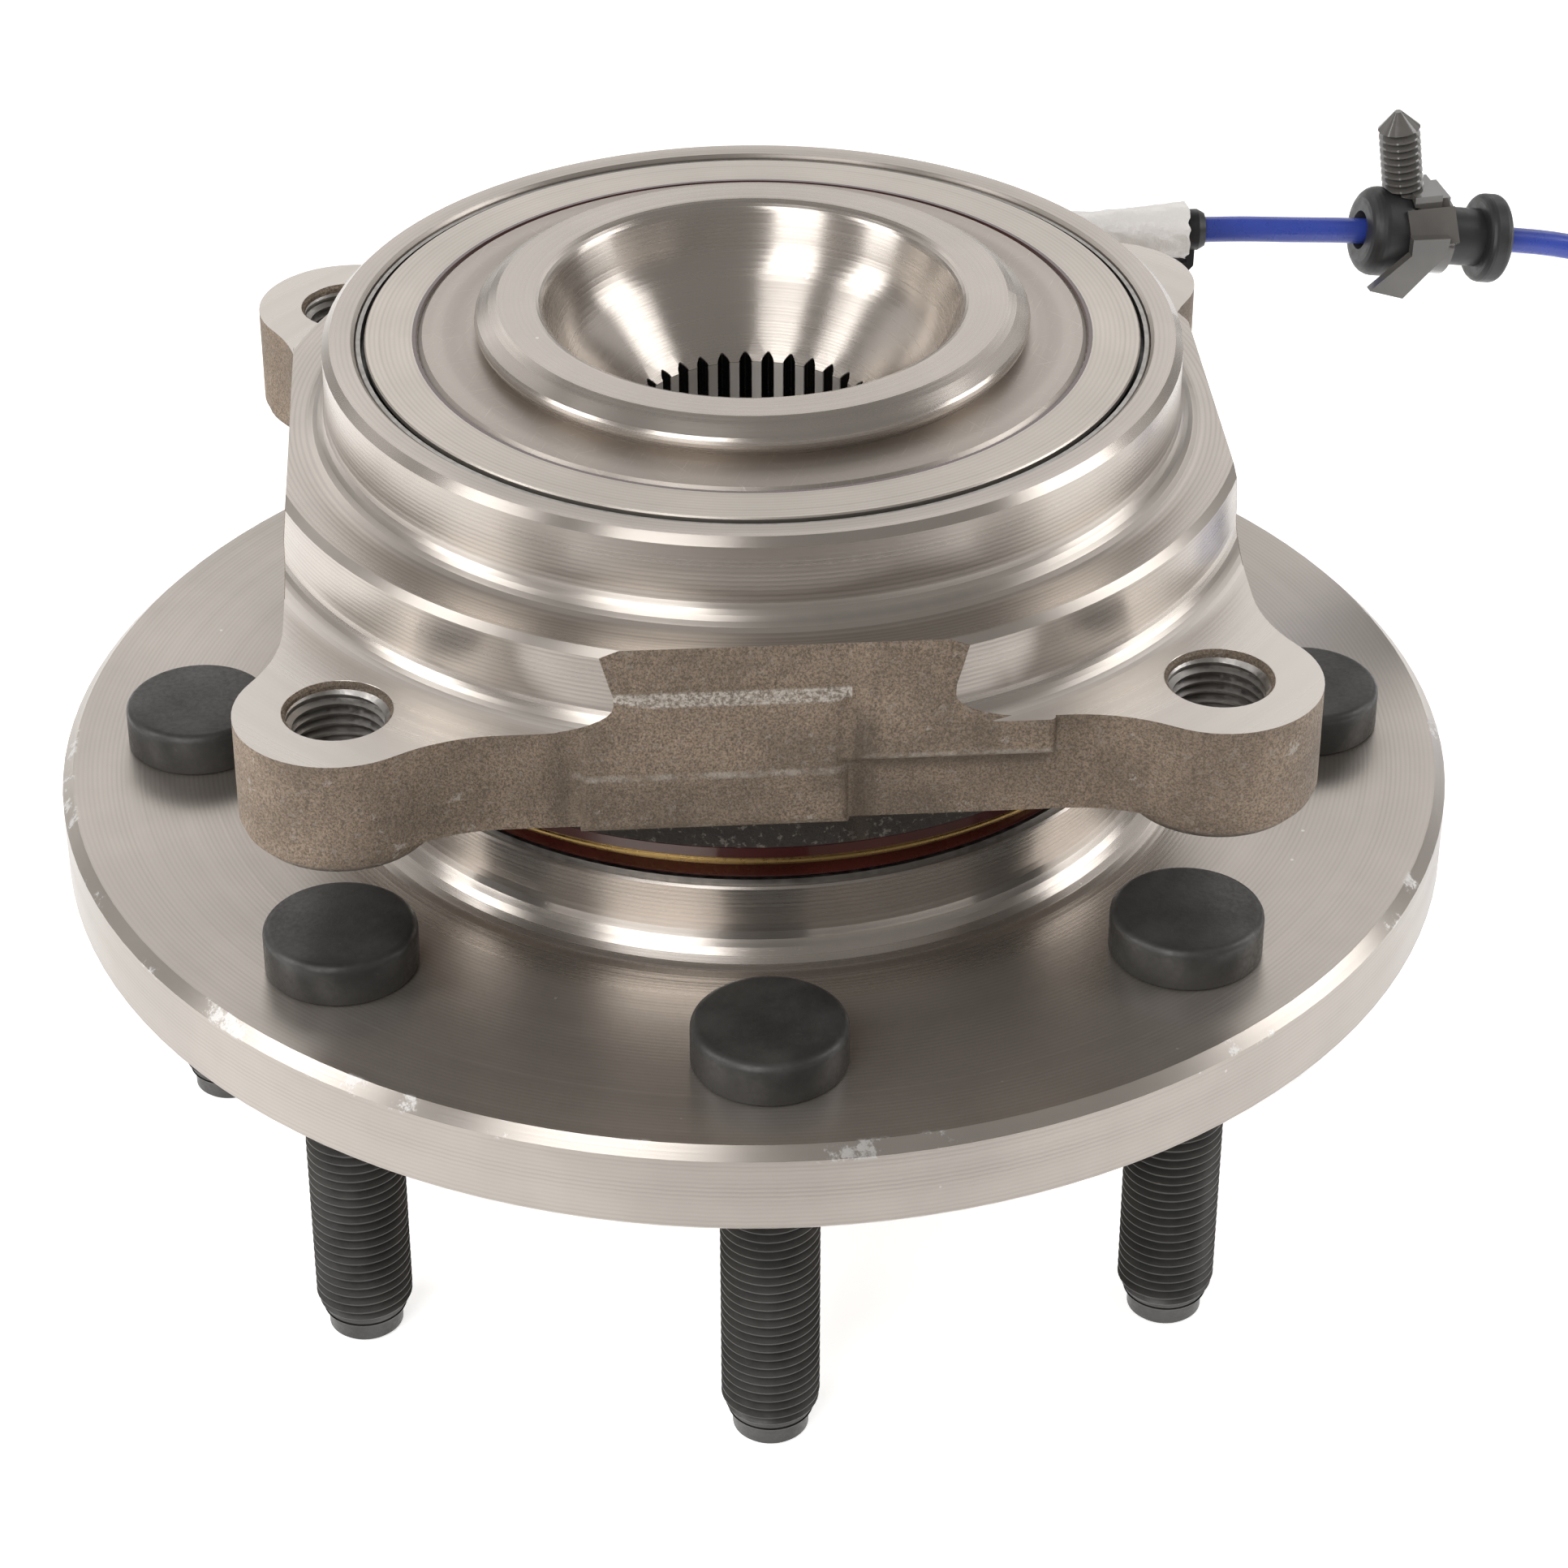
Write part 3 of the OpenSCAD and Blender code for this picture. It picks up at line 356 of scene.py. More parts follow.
LEDGE_Z = (100.2, 101.6)
FOOT_Z = (88.5, 91.5)
NOSE_Z = (128.5, 130.0)

RUBBED_TONE = (0.48, 0.435, 0.385)
SCAR_TONE = (0.62, 0.57, 0.52)
SHELF_HIGHLIGHT_TONE = (0.85, 0.80, 0.74)
EDGE_HIGHLIGHT_TONE = (0.62, 0.57, 0.51)
FOOT_TONE = (0.065, 0.058, 0.052)
FOOT_RUBBED_TONE = (0.28, 0.25, 0.22)
EAR_TONE = (0.66, 0.615, 0.57)


def where_raw(shader):
    """1 on the flats up to the shoulder, on the ears' sides and on all below, and 0 where a tool has cut."""
    x, y, z = shader.xyz()
    radius = shader.round_axis()[0]
    wide = shader.larger(shader.math("ABSOLUTE", x), shader.math("ABSOLUTE", y))
    draft = shader.product(FLAT_DRAFT, shader.larger(0.0, shader.minus(z, DRAFT_FROM)))
    on_flat = shader.is_above(wide, shader.minus(shader.minus(FLAT_FROM_AXIS, draft), 0.08 * MM))
    faces_up = shader.is_above(shader.xyz(shader.facing)[2], 0.7)
    ear_top = shader.product(faces_up, shader.is_below(z, RAW_BELOW + 0.2 * MM))
    on_flat = shader.product(on_flat, shader.minus(1.0, ear_top))
    up_to_shoulder = shader.product(shader.is_above(z, RAW_BELOW - 0.5 * MM), shader.is_below(z, SHOULDER))
    ragged = shader.product(shader.minus(shader.noise(420.0), 0.5), 0.1 * MM)
    below = shader.is_below(shader.plus(z, ragged), RAW_BELOW)
    raw = shader.larger(shader.product(on_flat, up_to_shoulder), below)
    return shader.product(raw, shader.minus(1.0, shader.is_below(radius, RING_INSIDE_R)))


def forged_tone(shader, grain, on_block, on_rail, above_foot):
    """Brown grey scale with pits, rubbed spots and scars, and painted shade and painted highlights at block
    and rail.
    """
    x, y, z = shader.xyz()
    dark = shade_of(FORGED, 0.3)
    patches = shader.noise(60.0, detail=4.0, rough=0.6)
    pits = shader.noise(2900.0, detail=3.0, rough=0.8)
    rubbed = shader.span(shader.noise(900.0, detail=3.0, rough=0.7), 0.56, 0.68)
    scars = shader.span(shader.noise(190.0, detail=6.0, rough=0.78), 0.62, 0.67)
    tone = shader.blend(shader.span(patches, 0.3, 0.7), shade_of(FORGED, 0.70), shade_of(FORGED, 1.20))
    in_pits = shader.product(shader.span(pits, 0.38, 0.6, 1.0, 0.0), 0.74)
    tone = shader.blend(in_pits, tone, shade_of(FORGED, 0.34))
    tone = shader.blend(shader.span(grain, 0.34, 0.5, 0.5, 0.0), tone, dark)
    tone = shader.blend(shader.product(rubbed, 0.36), tone, RUBBED_TONE)
    tone = shader.blend(shader.product(scars, 0.65), tone, SCAR_TONE)

    # Painted highlight on the block's top shelf, flecked by the grain.
    along_shelf = shader.product(shader.is_above(x, SHELF_FROM_X), shader.is_below(x, SHELF_TO_X))
    glints = shader.span(grain, 0.42, 0.6, 0.15, 1.0)
    shelf = shader.product(shader.band(z, *SHELF_Z), along_shelf, glints)
    tone = shader.blend(shader.product(shelf, 0.9), tone, SHELF_HIGHLIGHT_TONE)
    tone = shader.blend(above_foot, shader.blend(rubbed, FOOT_TONE, FOOT_RUBBED_TONE), tone)

    left_of_block = shader.product(shader.band(x, *BLOCK_LEFT_X), 0.6)
    beside_block = shader.larger(shader.band(x, *BLOCK_RIGHT_X), left_of_block)
    below_rail = shader.product(on_rail, shader.band(z, *RAIL_FOOT_Z))
    shade = shader.larger(beside_block, below_rail)
    shade = shader.product(shade, shader.fade(z, *SHADE_Z, 0.55, 0.0))
    tone = shader.blend(shade, tone, dark)

    # Painted highlight along the block's crease and the rail's brow, in patches.
    edges = shader.plus(shader.product(shader.band(z, *BLOCK_EDGE_Z), on_block),
                        shader.product(shader.band(z, *RAIL_BROW_Z), on_rail))
    patchy = shader.span(shader.noise(260.0, detail=4.0, rough=0.7), 0.42, 0.6, 0.1, 0.55)
    return shader.blend(shader.product(edges, patchy), tone, EDGE_HIGHLIGHT_TONE)


def forged_relief(shader, grain, on_block, on_rail):
    """Grain and lumps of the raw surface, the block's raised face with its crease, and the rail's ledge."""
    z = shader.xyz()[2]
    lumps = shader.noise(600.0, detail=3.0, rough=0.65)
    surface = shader.plus(shader.product(grain, 0.8 * MM), shader.product(lumps, 0.9 * MM))
    crease = shader.product(on_block, shader.fade(z, *CREASE_Z, 0.7 * MM, 0.0))
    ledge = shader.product(on_rail, shader.fade(z, *LEDGE_Z, 0.0, 0.8 * MM))
    height = shader.plus(surface, shader.plus(crease, ledge))
    height = shader.plus(height, shader.product(on_block, 0.9 * MM))
    return shader.bump(height, 1.0, 1.0)


def forged_ring_material():
    """Raw forging on the flats, the ears' sides and below, and turned steel where a tool has cut."""
    shader = Shader("forged_ring")
    x, y, z = shader.xyz()
    raw = where_raw(shader)

    fine, coarse, feed = turned_marks(shader)
    feed = shader.product(feed, shader.fade(z, *NOSE_Z, 1.0, 0.4))
    ears = shader.band(z, *EAR_TOP_Z)
    cut_tone = shader.blend(ears, turned_tone(shader, STEEL, feed, 25.0), EAR_TONE)
    cut_metal = shader.span(ears, 0.0, 1.0, STEEL_METALLIC, 0.6)
    cut_rough = shader.span(coarse, 0.3, 0.7, 0.26, 0.33)
    cut_bump = shader.bump(shader.plus(fine, feed), GROOVE_DEPTH, 0.8)

    grain = shader.noise(1900.0, detail=4.0, rough=0.8)
    above_foot = shader.rise(z, *FOOT_Z)
    on_block = shader.product(shader.band(x, *BLOCK_X), shader.drop(z, *BLOCK_TOP_Z))
    on_rail = shader.band(x, *RAIL_X)
    raw_tone = forged_tone(shader, grain, on_block, on_rail, above_foot)
    raw_rough = shader.span(above_foot, 0.0, 1.0, 0.28, 0.6)
    raw_bump = forged_relief(shader, grain, on_block, on_rail)

    shader.set(Base_Color=shader.blend(raw, cut_tone, raw_tone),
               Metallic=shader.span(raw, 0.0, 1.0, cut_metal, 0.5),
               Roughness=shader.span(raw, 0.0, 1.0, cut_rough, raw_rough),
               Anisotropic=STRETCH, Anisotropic_Rotation=QUARTER_TURN, Tangent=shader.around(),
               Normal=shader.blend_normals(raw, cut_bump, raw_bump))
    return shader.material


# Scratches on the inner ring: the way each set runs, in radians, and how much longer than wide it is

SCRATCH_SETS = ((0.3, 24.0), (1.2, 30.0), (2.2, 26.0))
DULL_STEEL = (0.47, 0.425, 0.385)
SCRATCH_TONE = (0.68, 0.62, 0.57)


def scratched_steel():
    """The worn end face of the inner ring: dull grey with crossing scratches."""
    shader = Shader("scratched_steel")
    x, y, z = shader.xyz()
    scratches = 0.0
    for turn, length in SCRATCH_SETS:
        cosine, sine = math.cos(turn), math.sin(turn)
        along = shader.plus(shader.product(x, cosine), shader.product(y, sine))
        across = shader.minus(shader.product(y, cosine), shader.product(x, sine))
        streak = shader.noise(130.0, detail=2.0, at=shader.vector(along, shader.product(across, length), 0.0))
        scratches = shader.larger(scratches, shader.span(streak, 0.62, 0.72))
    fine, coarse, _ = turned_marks(shader, 0.5 * MM)
    tone = shader.blend(shader.product(scratches, 0.35), DULL_STEEL, SCRATCH_TONE)
    shader.set(Base_Color=tone, Metallic=1.0, Roughness=shader.span(coarse, 0.3, 0.7, 0.36, 0.5),
               Anisotropic=0.5, Anisotropic_Rotation=QUARTER_TURN, Tangent=shader.around(),
               Normal=shader.bump(scratches, 0.01 * MM, 0.6, shader.bump(fine, GROOVE_DEPTH, 0.6)))
    return shader.material


def plain_metal(name, color, roughness, grain=900.0, depth=0.01 * MM):
    shader = Shader(name)
    speck = shader.noise(grain)
    cloud = shader.noise(60.0)
    tone = shader.blend(shader.span(cloud, 0.3, 0.7), shade_of(color, 0.85), color)
    shader.set(Base_Color=tone, Metallic=1.0, Normal=shader.bump(speck, depth, 0.7),
               Roughness=shader.span(speck, 0.3, 0.7, roughness * 0.8, roughness * 1.3))
    return shader.material


def phosphate():
    """Black phosphate of the studs: nearly dull, a little cloudy, and greyer where it has rubbed."""
    shader = Shader("black_phosphate")
    speck = shader.noise(1400.0, detail=3.0, rough=0.65)
    cloud = shader.noise(90.0, detail=4.0, rough=0.6)
    patchy = shader.span(shader.noise(420.0, detail=4.0, rough=0.7), 0.66, 0.8)
    tone = shader.blend(shader.span(cloud, 0.3, 0.7), (0.042, 0.041, 0.039), (0.078, 0.076, 0.072))
    tone = shader.blend(shader.product(patchy, 0.4), tone, (0.22, 0.21, 0.20))
    shader.set(Base_Color=tone, Metallic=0.3, Roughness=shader.span(speck, 0.3, 0.7, 0.34, 0.5),
               Normal=shader.bump(speck, 0.03 * MM, 0.8))
    return shader.material


def soft(name, color, roughness, grain=700.0, depth=0.02 * MM, coat=0.0):
    """Rubber and moulded plastic."""
    shader = Shader(name)
    speck = shader.noise(grain)
    cloud = shader.noise(80.0)
    tone = shader.blend(shader.span(cloud, 0.3, 0.7), shade_of(color, 0.8), shade_of(color, 1.15))
    shader.set(Base_Color=tone, Roughness=shader.span(speck, 0.3, 0.7, roughness * 0.85, roughness * 1.15),
               Coat_Weight=coat, Coat_Roughness=0.08, Normal=shader.bump(speck, depth, 0.6))
    return shader.material


def crinkled_foil():
    shader = Shader("crinkled_foil")
    crease = shader.cells(520.0)
    fine = shader.noise(900.0, detail=4.0, rough=0.65, distort=0.6)
    shader.set(Base_Color=(1.0, 0.975, 0.95, 1.0), Metallic=0.1, Roughness=0.4,
               Normal=shader.bump(fine, 0.3 * MM, 0.7, shader.bump(crease, 0.3 * MM, 0.6)))
    return shader.material


MATERIALS = {
    "forged_ring": forged_ring_material(),
    "turned_hub": turned_steel("turned_hub", STEEL, 0.26, is_hub=True),
    "slinger": turned_steel("slinger", BRIGHT_STEEL, 0.36, pitch=0.6 * MM, groove=0.004 * MM, stretch=0.3),
    "scratched_steel": scratched_steel(),
    "dark_steel": plain_metal("dark_steel", (0.28, 0.27, 0.26), 0.4),
    "case_steel": plain_metal("case_steel", (0.42, 0.40, 0.38), 0.34),
    "ground_steel": plain_metal("ground_steel", (0.74, 0.73, 0.72), 0.16),
    "zinc": plain_metal("zinc", (0.62, 0.63, 0.64), 0.34),
    "gold_zinc": plain_metal("gold_zinc", (0.34, 0.225, 0.085), 0.3, grain=1200.0, depth=0.03 * MM),
    "brass": plain_metal("brass", (0.74, 0.60, 0.32), 0.3),
    "thread_steel": plain_metal("thread_steel", (0.42, 0.40, 0.38), 0.35, grain=1500.0, depth=0.04 * MM),
    "black_phosphate": phosphate(),
    "brown_rubber": soft("brown_rubber", (0.050, 0.009, 0.008), 0.14, coat=0.8),
    "black_rubber": soft("black_rubber", (0.014, 0.014, 0.015), 0.4),
    "grommet_rubber": soft("grommet_rubber", (0.030, 0.030, 0.031), 0.42),
    "black_plastic": soft("black_plastic", (0.016, 0.016, 0.017), 0.33),
    "grey_plastic": soft("grey_plastic", (0.09, 0.09, 0.095), 0.38),
    "clip_plastic": soft("clip_plastic", (0.125, 0.118, 0.110), 0.16, coat=0.7),
    "pale_plastic": soft("pale_plastic", (0.6, 0.59, 0.56), 0.4),
    "blue_jacket": soft("blue_jacket", (0.040, 0.075, 0.42), 0.3, grain=500.0, depth=0.03 * MM, coat=0.15),
    "blue_seal": soft("blue_seal", (0.03, 0.13, 0.42), 0.4),
    "foil": crinkled_foil(),
}

NODE_LOOKS = {
    "outer_ring": "forged_ring", "hub_flange": "turned_hub", "inner_ring_inboard": "scratched_steel",
    "inner_ring_outboard": "ground_steel", "tone_ring": "dark_steel", "rollers_inboard": "ground_steel",
    "rollers_outboard": "ground_steel", "cage_inboard": "dark_steel", "cage_outboard": "dark_steel",
    "seal_case_inboard": "case_steel", "seal_lip_inboard": "black_rubber", "slinger_inboard": "slinger",
    "slinger_bead": "brown_rubber", "seal_case_outboard": "gold_zinc", "seal_lip_outboard": "brown_rubber",
    "seal_gasket": "brown_rubber", "slinger_outboard": "dark_steel", "sensor_body": "black_plastic",
    "sensor_tip": "dark_steel", "sensor_o_ring": "black_rubber", "sensor_bush": "brass",
    "sensor_screw": "zinc", "sleeve_boot": "black_rubber", "grommet": "grommet_rubber",
    "clip": "clip_plastic", "coil_tie": "black_plastic", "plug_housing": "grey_plastic",
    "plug_seal": "blue_seal", "plug_latch": "pale_plastic", "plug_terminals": "brass",
}


def paint(thing, look):
    thing.data.materials.clear()
    thing.data.materials.append(MATERIALS[look])


def mesh_of(bm, name, smooth=True):
    for face in bm.faces:
        face.smooth = smooth
    mesh = bpy.data.meshes.new(name)
    bm.to_mesh(mesh)
    bm.free()
    return mesh


def add_mesh(name, mesh, look, body):
    thing = bpy.data.objects.new(name, mesh)
    bpy.context.scene.collection.objects.link(thing)
    if not mesh.materials:
        mesh.materials.append(MATERIALS[look])
    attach(thing, body)
    return thing


# Lead: the route repeats the CAD's points. The coil's radius is 0.01 mm less, to stay inside the CAD's box

LEAD_D = 4.1 * MM
SLEEVE_START = Vector((12.0, 80.0, 105.9)) * MM
LEAD_ROUTE = [Vector(point) * MM for point in (
    (77.7, 80, 104.8), (84, 80, 104.7), (92, 80.2, 104.2), (101, 81.4, 103.2),
    (110, 82.8, 101.8), (119, 84.3, 100.2), (128, 85.7, 98.6), (137, 87, 96.8),
    (145, 87.8, 94.4), (152, 88, 91), (158, 87.4, 85.8), (163, 86, 79.2),
    (167, 84, 71.6), (170, 81.8, 63.4), (172.5, 79.2, 54.4), (175, 76.6, 45),
    (178, 74, 36), (182, 71.6, 28), (187, 69.5, 21), (193.5, 67.7, 15.5),
    (201, 66.5, 12), (208, 66, 10.6), (214, 66, 10.3))]
LEAD_TAIL = [Vector(point) * MM for point in (
    (214, 110, 2.1), (209.8, 110, 2.6), (205.5, 110, 4.2), (201.2, 110, 5.7), (197, 110, 6.2),
    (195.5, 110, 6.2))]
COIL_CENTRE = Vector((214, 88, 0)) * MM
COIL_R = 21.99 * MM
COIL_TURNS = 2.5
COIL_STEPS = 100
SLEEVE_STEPS = 8


def smooth_line(points, steps):
    """Points on a smooth curve through the given ones."""
    line = []
    last = len(points) - 1
    for i in range(last):
        before, start, end, after = points[max(i - 1, 0)], points[i], points[i + 1], points[min(i + 2, last)]
        slope = end - before
        square = 2 * before - 5 * start + 4 * end - after
        cube = 3 * start - before - 3 * end + after
        for k in range(steps):
            t = k / steps
            line.append(0.5 * (2 * start + slope * t + square * t * t + cube * t ** 3))
    return line + [points[-1]]


def coil_line():
    """The coil's turns, from the end of the route down to the start of the tail."""
    top, low = LEAD_ROUTE[-1].z, LEAD_TAIL[0].z
    line = []
    for i in range(1, COIL_STEPS):
        t = i / COIL_STEPS
        angle = math.radians(-90 + 360 * COIL_TURNS * t)
        round_centre = Vector((COIL_R * math.cos(angle), COIL_R * math.sin(angle), top + (low - top) * t))
        line.append(COIL_CENTRE + round_centre)
    return line


def lead_line():
    in_sleeve = LEAD_ROUTE[0] - SLEEVE_START
    sleeve = [SLEEVE_START + in_sleeve * k / SLEEVE_STEPS for k in range(SLEEVE_STEPS)]
    return sleeve + smooth_line(LEAD_ROUTE, 3) + coil_line() + smooth_line(LEAD_TAIL, 2)


def make_lead():
    points = lead_line()
    data = bpy.data.curves.new("lead", "CURVE")
    data.dimensions = "3D"
    data.bevel_depth = LEAD_D / 2
    data.bevel_resolution = 6
    data.use_fill_caps = True
    line = data.splines.new("POLY")
    line.points.add(len(points) - 1)
    for point, place in zip(line.points, points):
        point.co = (*place, 1.0)
    line.use_smooth = True
    data.materials.append(MATERIALS["blue_jacket"])
    lead = bpy.data.objects.new("lead", data)
    bpy.context.scene.collection.objects.link(lead)
    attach(lead, "outer_ring")
    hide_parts("sensor_lead", "sleeve_lead", "lead_coil")
    make_foil()


SLEEVE_END = Vector((75.0, 80.0, 104.9)) * MM
FOIL_SIDES = 72
FOIL_RINGS = 190
FOIL_R = 3.3 * MM
FOIL_OPEN_R = 4.75 * MM
FLARE_L = 14.0 * MM


def foil_radius(t, length, around):
    """Radius of the sleeve at share t of its length, wider at the open end and wrinkled all over."""
    left = (1.0 - t) * length
    radius = FOIL_R + (FOIL_OPEN_R - FOIL_R) * max(0.0, 1.0 - left / FLARE_L)
    place = Vector((around[0] * 1.3, around[1] * 1.3, t * 16))
    crinkle = noise.turbulence(place, 3, True) * 0.32 - 0.24 + noise.noise(place * 3.7) * 0.07
    return radius + min(crinkle, 0.12) * min(1.0, 0.3 + t) * MM


def make_foil():
    """Foil sleeve: a tapered tube, wrinkled by noise, with a ragged open end."""
    along = SLEEVE_END - SLEEVE_START
    length = along.length
    turn = along.to_track_quat("Z", "X")
    bm = bmesh.new()
    rows = []
    for i in range(FOIL_RINGS + 1):
        t = i / FOIL_RINGS
        row = []
        for k in range(FOIL_SIDES):
            angle = 2 * math.pi * k / FOIL_SIDES
            around = (math.cos(angle), math.sin(angle))
            edge_noise = noise.noise(Vector((around[0] * 2.2, around[1] * 2.2, 5.0)))
            ragged = abs(edge_noise) * 1.5 * t ** 30 * MM
            r = foil_radius(t, length, around)
            place = Vector((r * around[0], r * around[1], t * length - ragged))
            row.append(bm.verts.new(SLEEVE_START + turn @ place))
        rows.append(row)
    for low, high in zip(rows, rows[1:]):
        for k in range(FOIL_SIDES):
            after = (k + 1) % FOIL_SIDES
            bm.faces.new((low[k], low[after], high[after], high[k]))
    foil = add_mesh("foil", mesh_of(bm, "foil"), "foil", "outer_ring")
    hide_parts("foil_sleeve")
    return foil


# Threads and studs

THREAD_PITCH = 1.5 * MM
THREAD_SIDES = 48
THREAD_SHARP = math.radians(25)
MERGE_WITHIN = 0.005 * MM
SLIVER_AREA = 1e-12


def thread_mesh(name, crest, root, low, high, limit):
    """A helical thread along +Z from low to high. limit(z, r) trims the radius at the ends."""
    profile = [(0.0, root), (0.12, root), (0.44, crest), (0.56, crest), (0.88, root)]
    last = len(profile) - 1
    steps = (int((high - low) / THREAD_PITCH) + 3) * THREAD_SIDES
    bm = bmesh.new()
    columns = []
    for j in range(steps + 1):
        angle = 2 * math.pi * (j % THREAD_SIDES) / THREAD_SIDES
        base = low - THREAD_PITCH + THREAD_PITCH * j / THREAD_SIDES
        column = []
        for share, r in profile:
            z = min(max(base + share * THREAD_PITCH, low), high)
            radius = limit(z, r)
            column.append(bm.verts.new((radius * math.cos(angle), radius * math.sin(angle), z)))
        columns.append(column)
    for j in range(steps):
        here, there = columns[j], columns[j + 1]
        for k in range(last):
            bm.faces.new((here[k], there[k], there[k + 1], here[k + 1]))
        if j + THREAD_SIDES + 1 <= steps:
            above, above_next = columns[j + THREAD_SIDES], columns[j + THREAD_SIDES + 1]
            bm.faces.new((here[last], there[last], above_next[0], above[0]))
    bmesh.ops.remove_doubles(bm, verts=bm.verts, dist=MERGE_WITHIN)
    slivers = [face for face in bm.faces if face.calc_area() < SLIVER_AREA]
    bmesh.ops.delete(bm, geom=slivers, context="FACES_ONLY")
    bmesh.ops.recalc_face_normals(bm, faces=bm.faces)
    mesh = mesh_of(bm, name)
    mesh.set_sharp_from_angle(angle=THREAD_SHARP)
    return mesh


LATHE_SIDES = 64


def lathe_mesh(name, profile):
    """Turns (radius, height) points round Z. A radius of 0 closes the form."""
    bm = bmesh.new()
    rows = []
    for radius, height in profile:
        row = []
        for k in range(LATHE_SIDES if radius > 0 else 1):
            angle = 2 * math.pi * k / LATHE_SIDES
            row.append(bm.verts.new((radius * math.cos(angle), radius * math.sin(angle), height)))
        rows.append(row)
    for low, high in zip(rows, rows[1:]):
        for k in range(LATHE_SIDES):
            n = (k + 1) % LATHE_SIDES
            corners = [low[k % len(low)], low[n % len(low)], high[n % len(high)], high[k % len(high)]]
            bm.faces.new(dict.fromkeys(corners))
    bmesh.ops.recalc_face_normals(bm, faces=bm.faces)
    return mesh_of(bm, name)


FLANGE_TOP = 64.0 * MM
FLANGE_LOW = 50.7 * MM
HUB_TURN = -2.2
STUDS = 8
STUD_PCD_R = 82.55 * MM
STUD_R = 6.95 * MM
STUD_ROOT_R = 6.05 * MM
THREAD_FROM = 2.8 * MM
THREAD_TO = FLANGE_LOW - 0.5 * MM
SHANK_R = 7.6 * MM
SHANK_END = FLANGE_LOW - 1.5 * MM
POINT_R = 5.35 * MM
POINT_TOP = 2.7 * MM
POINT_EDGE = 0.5 * MM
TAPER_TOP = 3.6 * MM
HEAD_R = 10.7 * MM
HEAD_H = 6.6 * MM
HEAD_EDGE = 1.2 * MM
HEAD_ARC_STEPS = 5
UNDER_EDGE_W = 0.3 * MM
UNDER_EDGE_H = 0.4 * MM


def stud_limit(z, r):
    """Keeps the thread inside the taper of the point below and inside the shank's end above."""
    return min(r, POINT_R + 0.05 * MM + max(0.0, z - POINT_TOP) * 0.5,
               STUD_ROOT_R + 0.25 * MM + max(0.0, FLANGE_LOW - 1.2 * MM - z))


def stud_meshes():
    """Head with a rounded edge and its shank, the thread, and the plain point."""
    head = [(0.0, FLANGE_TOP + HEAD_H)]
    for k in range(HEAD_ARC_STEPS + 1):
        angle = math.radians(90 - 90 * k / HEAD_ARC_STEPS)
        head.append((HEAD_R - HEAD_EDGE + HEAD_EDGE * math.cos(angle),
                     FLANGE_TOP + HEAD_H - HEAD_EDGE + HEAD_EDGE * math.sin(angle)))
    head += [(HEAD_R, FLANGE_TOP + UNDER_EDGE_H), (HEAD_R - UNDER_EDGE_W, FLANGE_TOP),
             (SHANK_R, FLANGE_TOP), (SHANK_R, FLANGE_LOW),
             (STUD_R, SHANK_END), (STUD_ROOT_R - 0.05 * MM, SHANK_END - 0.1 * MM)]
    point = [(STUD_ROOT_R, TAPER_TOP), (POINT_R, POINT_TOP), (POINT_R, POINT_EDGE),
             (POINT_R - POINT_EDGE, 0.0), (0.0, 0.0)]
    thread = thread_mesh("stud_thread", STUD_R, STUD_ROOT_R, THREAD_FROM, THREAD_TO, stud_limit)
    return {"head": lathe_mesh("stud_head", head), "thread": thread, "point": lathe_mesh("stud_point", point)}


def make_studs():
    meshes = stud_meshes()
    for i in range(STUDS):
        angle = math.radians(HUB_TURN - 90 + 360 * i / STUDS)
        place = Matrix.Translation((STUD_PCD_R * math.cos(angle), STUD_PCD_R * math.sin(angle), 0.0))
        for part, mesh in meshes.items():
            thing = add_mesh(f"stud_{part}_{i + 1}", mesh, "black_phosphate", "hub")
            thing.matrix_world = place @ Matrix.Rotation(angle, 4, "Z")
            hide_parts("wheel_studs")


EAR_HALF = 58.85 * MM
EAR_FACE = 106.8 * MM
EAR_BORE_R = 7.0 * MM
EAR_THREAD_R = 6.1 * MM
EAR_THREAD_TOP = EAR_FACE - 0.9 * MM
EAR_THREAD_LOW = EAR_FACE - 17.6 * MM


def ear_limit(z, r):
    """Widens the thread towards the hole's chamfer."""
    return max(r, EAR_THREAD_R + 0.1 * MM + max(0.0, z - (EAR_THREAD_TOP - 1.0 * MM)))


def make_ear_threads():
    root = EAR_BORE_R - 0.02 * MM
    mesh = thread_mesh("ear_thread", EAR_THREAD_R, root, EAR_THREAD_LOW, EAR_THREAD_TOP, ear_limit)
    mesh.flip_normals()
    for i, (side_x, side_y) in enumerate(((-1, -1), (1, -1), (1, 1), (-1, 1))):
        thing = add_mesh(f"ear_thread_{i + 1}", mesh, "thread_steel", "outer_ring")
        thing.matrix_world = Matrix.Translation((side_x * EAR_HALF, side_y * EAR_HALF, 0.0))


# Studio: each light has its name, place, width and height, and power

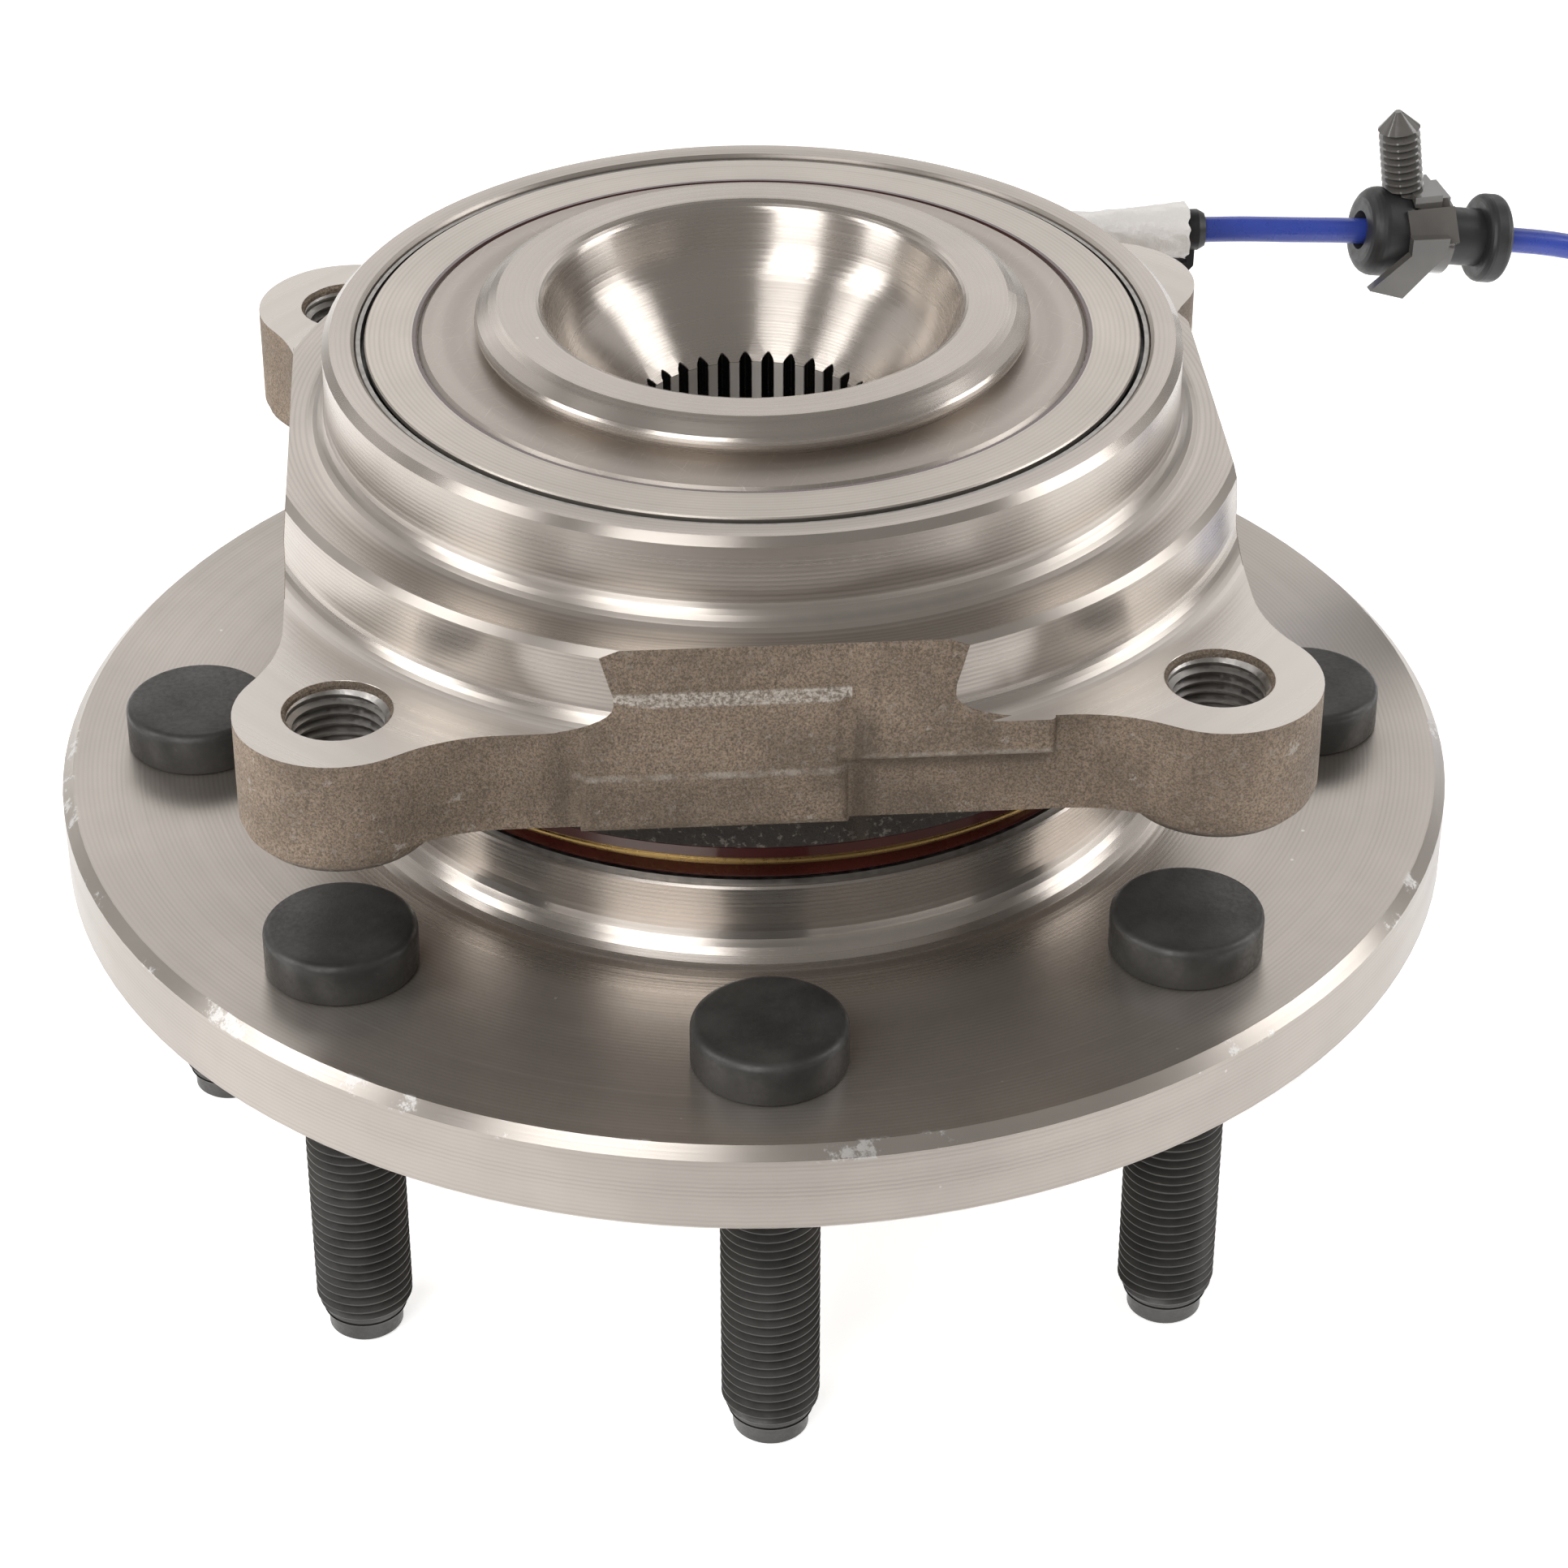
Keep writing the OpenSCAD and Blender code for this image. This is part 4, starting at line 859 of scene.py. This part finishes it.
LIGHTS_AIM = Vector((0.0, 0.0, 0.09))
LIGHTS = (
    ("left_box", (-1.13, -0.21, 0.62), (0.46, 0.95), 5.2),
    ("front_box", (-0.59, -1.05, 0.78), (0.66, 1.45), 10.2),
    ("right_box", (1.15, 0.02, 0.62), (0.52, 0.95), 4.9),
    ("back_wall", (0.0, 1.6, 0.95), (2.6, 1.1), 7.7),
    ("left_top", (-1.15, 0.95, 1.0), (1.1, 0.9), 1.5),
    ("right_top", (1.15, 0.95, 1.0), (1.1, 0.9), 1.4),
)
ROOM_TONE = (1.0, 0.96, 0.92, 1.0)
ROOM_LIGHT = 0.27
FLOOR_CORNERS = ((-12.0, -12.0), (12.0, 12.0))
FLOOR_TONE = (0.95, 0.945, 0.94)
FLOOR_GLOW = 0.66
CARD_CORNERS = ((-0.5, -1.4), (0.5, -0.2))
CARD_TONE = (0.13, 0.108, 0.09)
CARD_HEIGHT = 0.002


def emitter(name, place, size, power):
    data = bpy.data.lights.new(name, "AREA")
    data.shape = "RECTANGLE"
    data.size, data.size_y = size
    data.energy = power
    light = bpy.data.objects.new(name, data)
    bpy.context.scene.collection.objects.link(light)
    light.location = place
    light.rotation_mode = "QUATERNION"
    light.rotation_quaternion = (LIGHTS_AIM - Vector(place)).to_track_quat("-Z", "Y")


def ground(name, corners, color, height=0.0, glow=0.0):
    bm = bmesh.new()
    (x0, y0), (x1, y1) = corners
    bm.faces.new([bm.verts.new((x, y, height)) for x, y in ((x0, y0), (x1, y0), (x1, y1), (x0, y1))])
    mesh = mesh_of(bm, name, smooth=False)
    thing = bpy.data.objects.new(name, mesh)
    bpy.context.scene.collection.objects.link(thing)
    shader = Shader(name)
    shader.set(Base_Color=(*color, 1.0), Roughness=0.9,
               Emission_Color=(1.0, 1.0, 1.0, 1.0), Emission_Strength=glow)
    mesh.materials.append(shader.material)
    return thing


def make_studio():
    """White table, soft boxes all round, and a brown card in front that shows only in the steel."""
    bpy.context.scene.view_settings.view_transform = "Standard"
    world = bpy.data.worlds.new("studio")
    world.use_nodes = True
    background = world.node_tree.nodes["Background"]
    background.inputs["Color"].default_value = ROOM_TONE
    background.inputs["Strength"].default_value = ROOM_LIGHT
    bpy.context.scene.world = world
    for name, place, size, power in LIGHTS:
        emitter(name, place, size, power)
    ground("floor", FLOOR_CORNERS, FLOOR_TONE, glow=FLOOR_GLOW)
    card = ground("card", CARD_CORNERS, CARD_TONE, height=CARD_HEIGHT)
    card.visible_camera = False
    card.visible_shadow = False


make_camera()
make_lead()
make_studs()
make_ear_threads()
for node, look in NODE_LOOKS.items():
    paint(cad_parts[node], look)
make_studio()
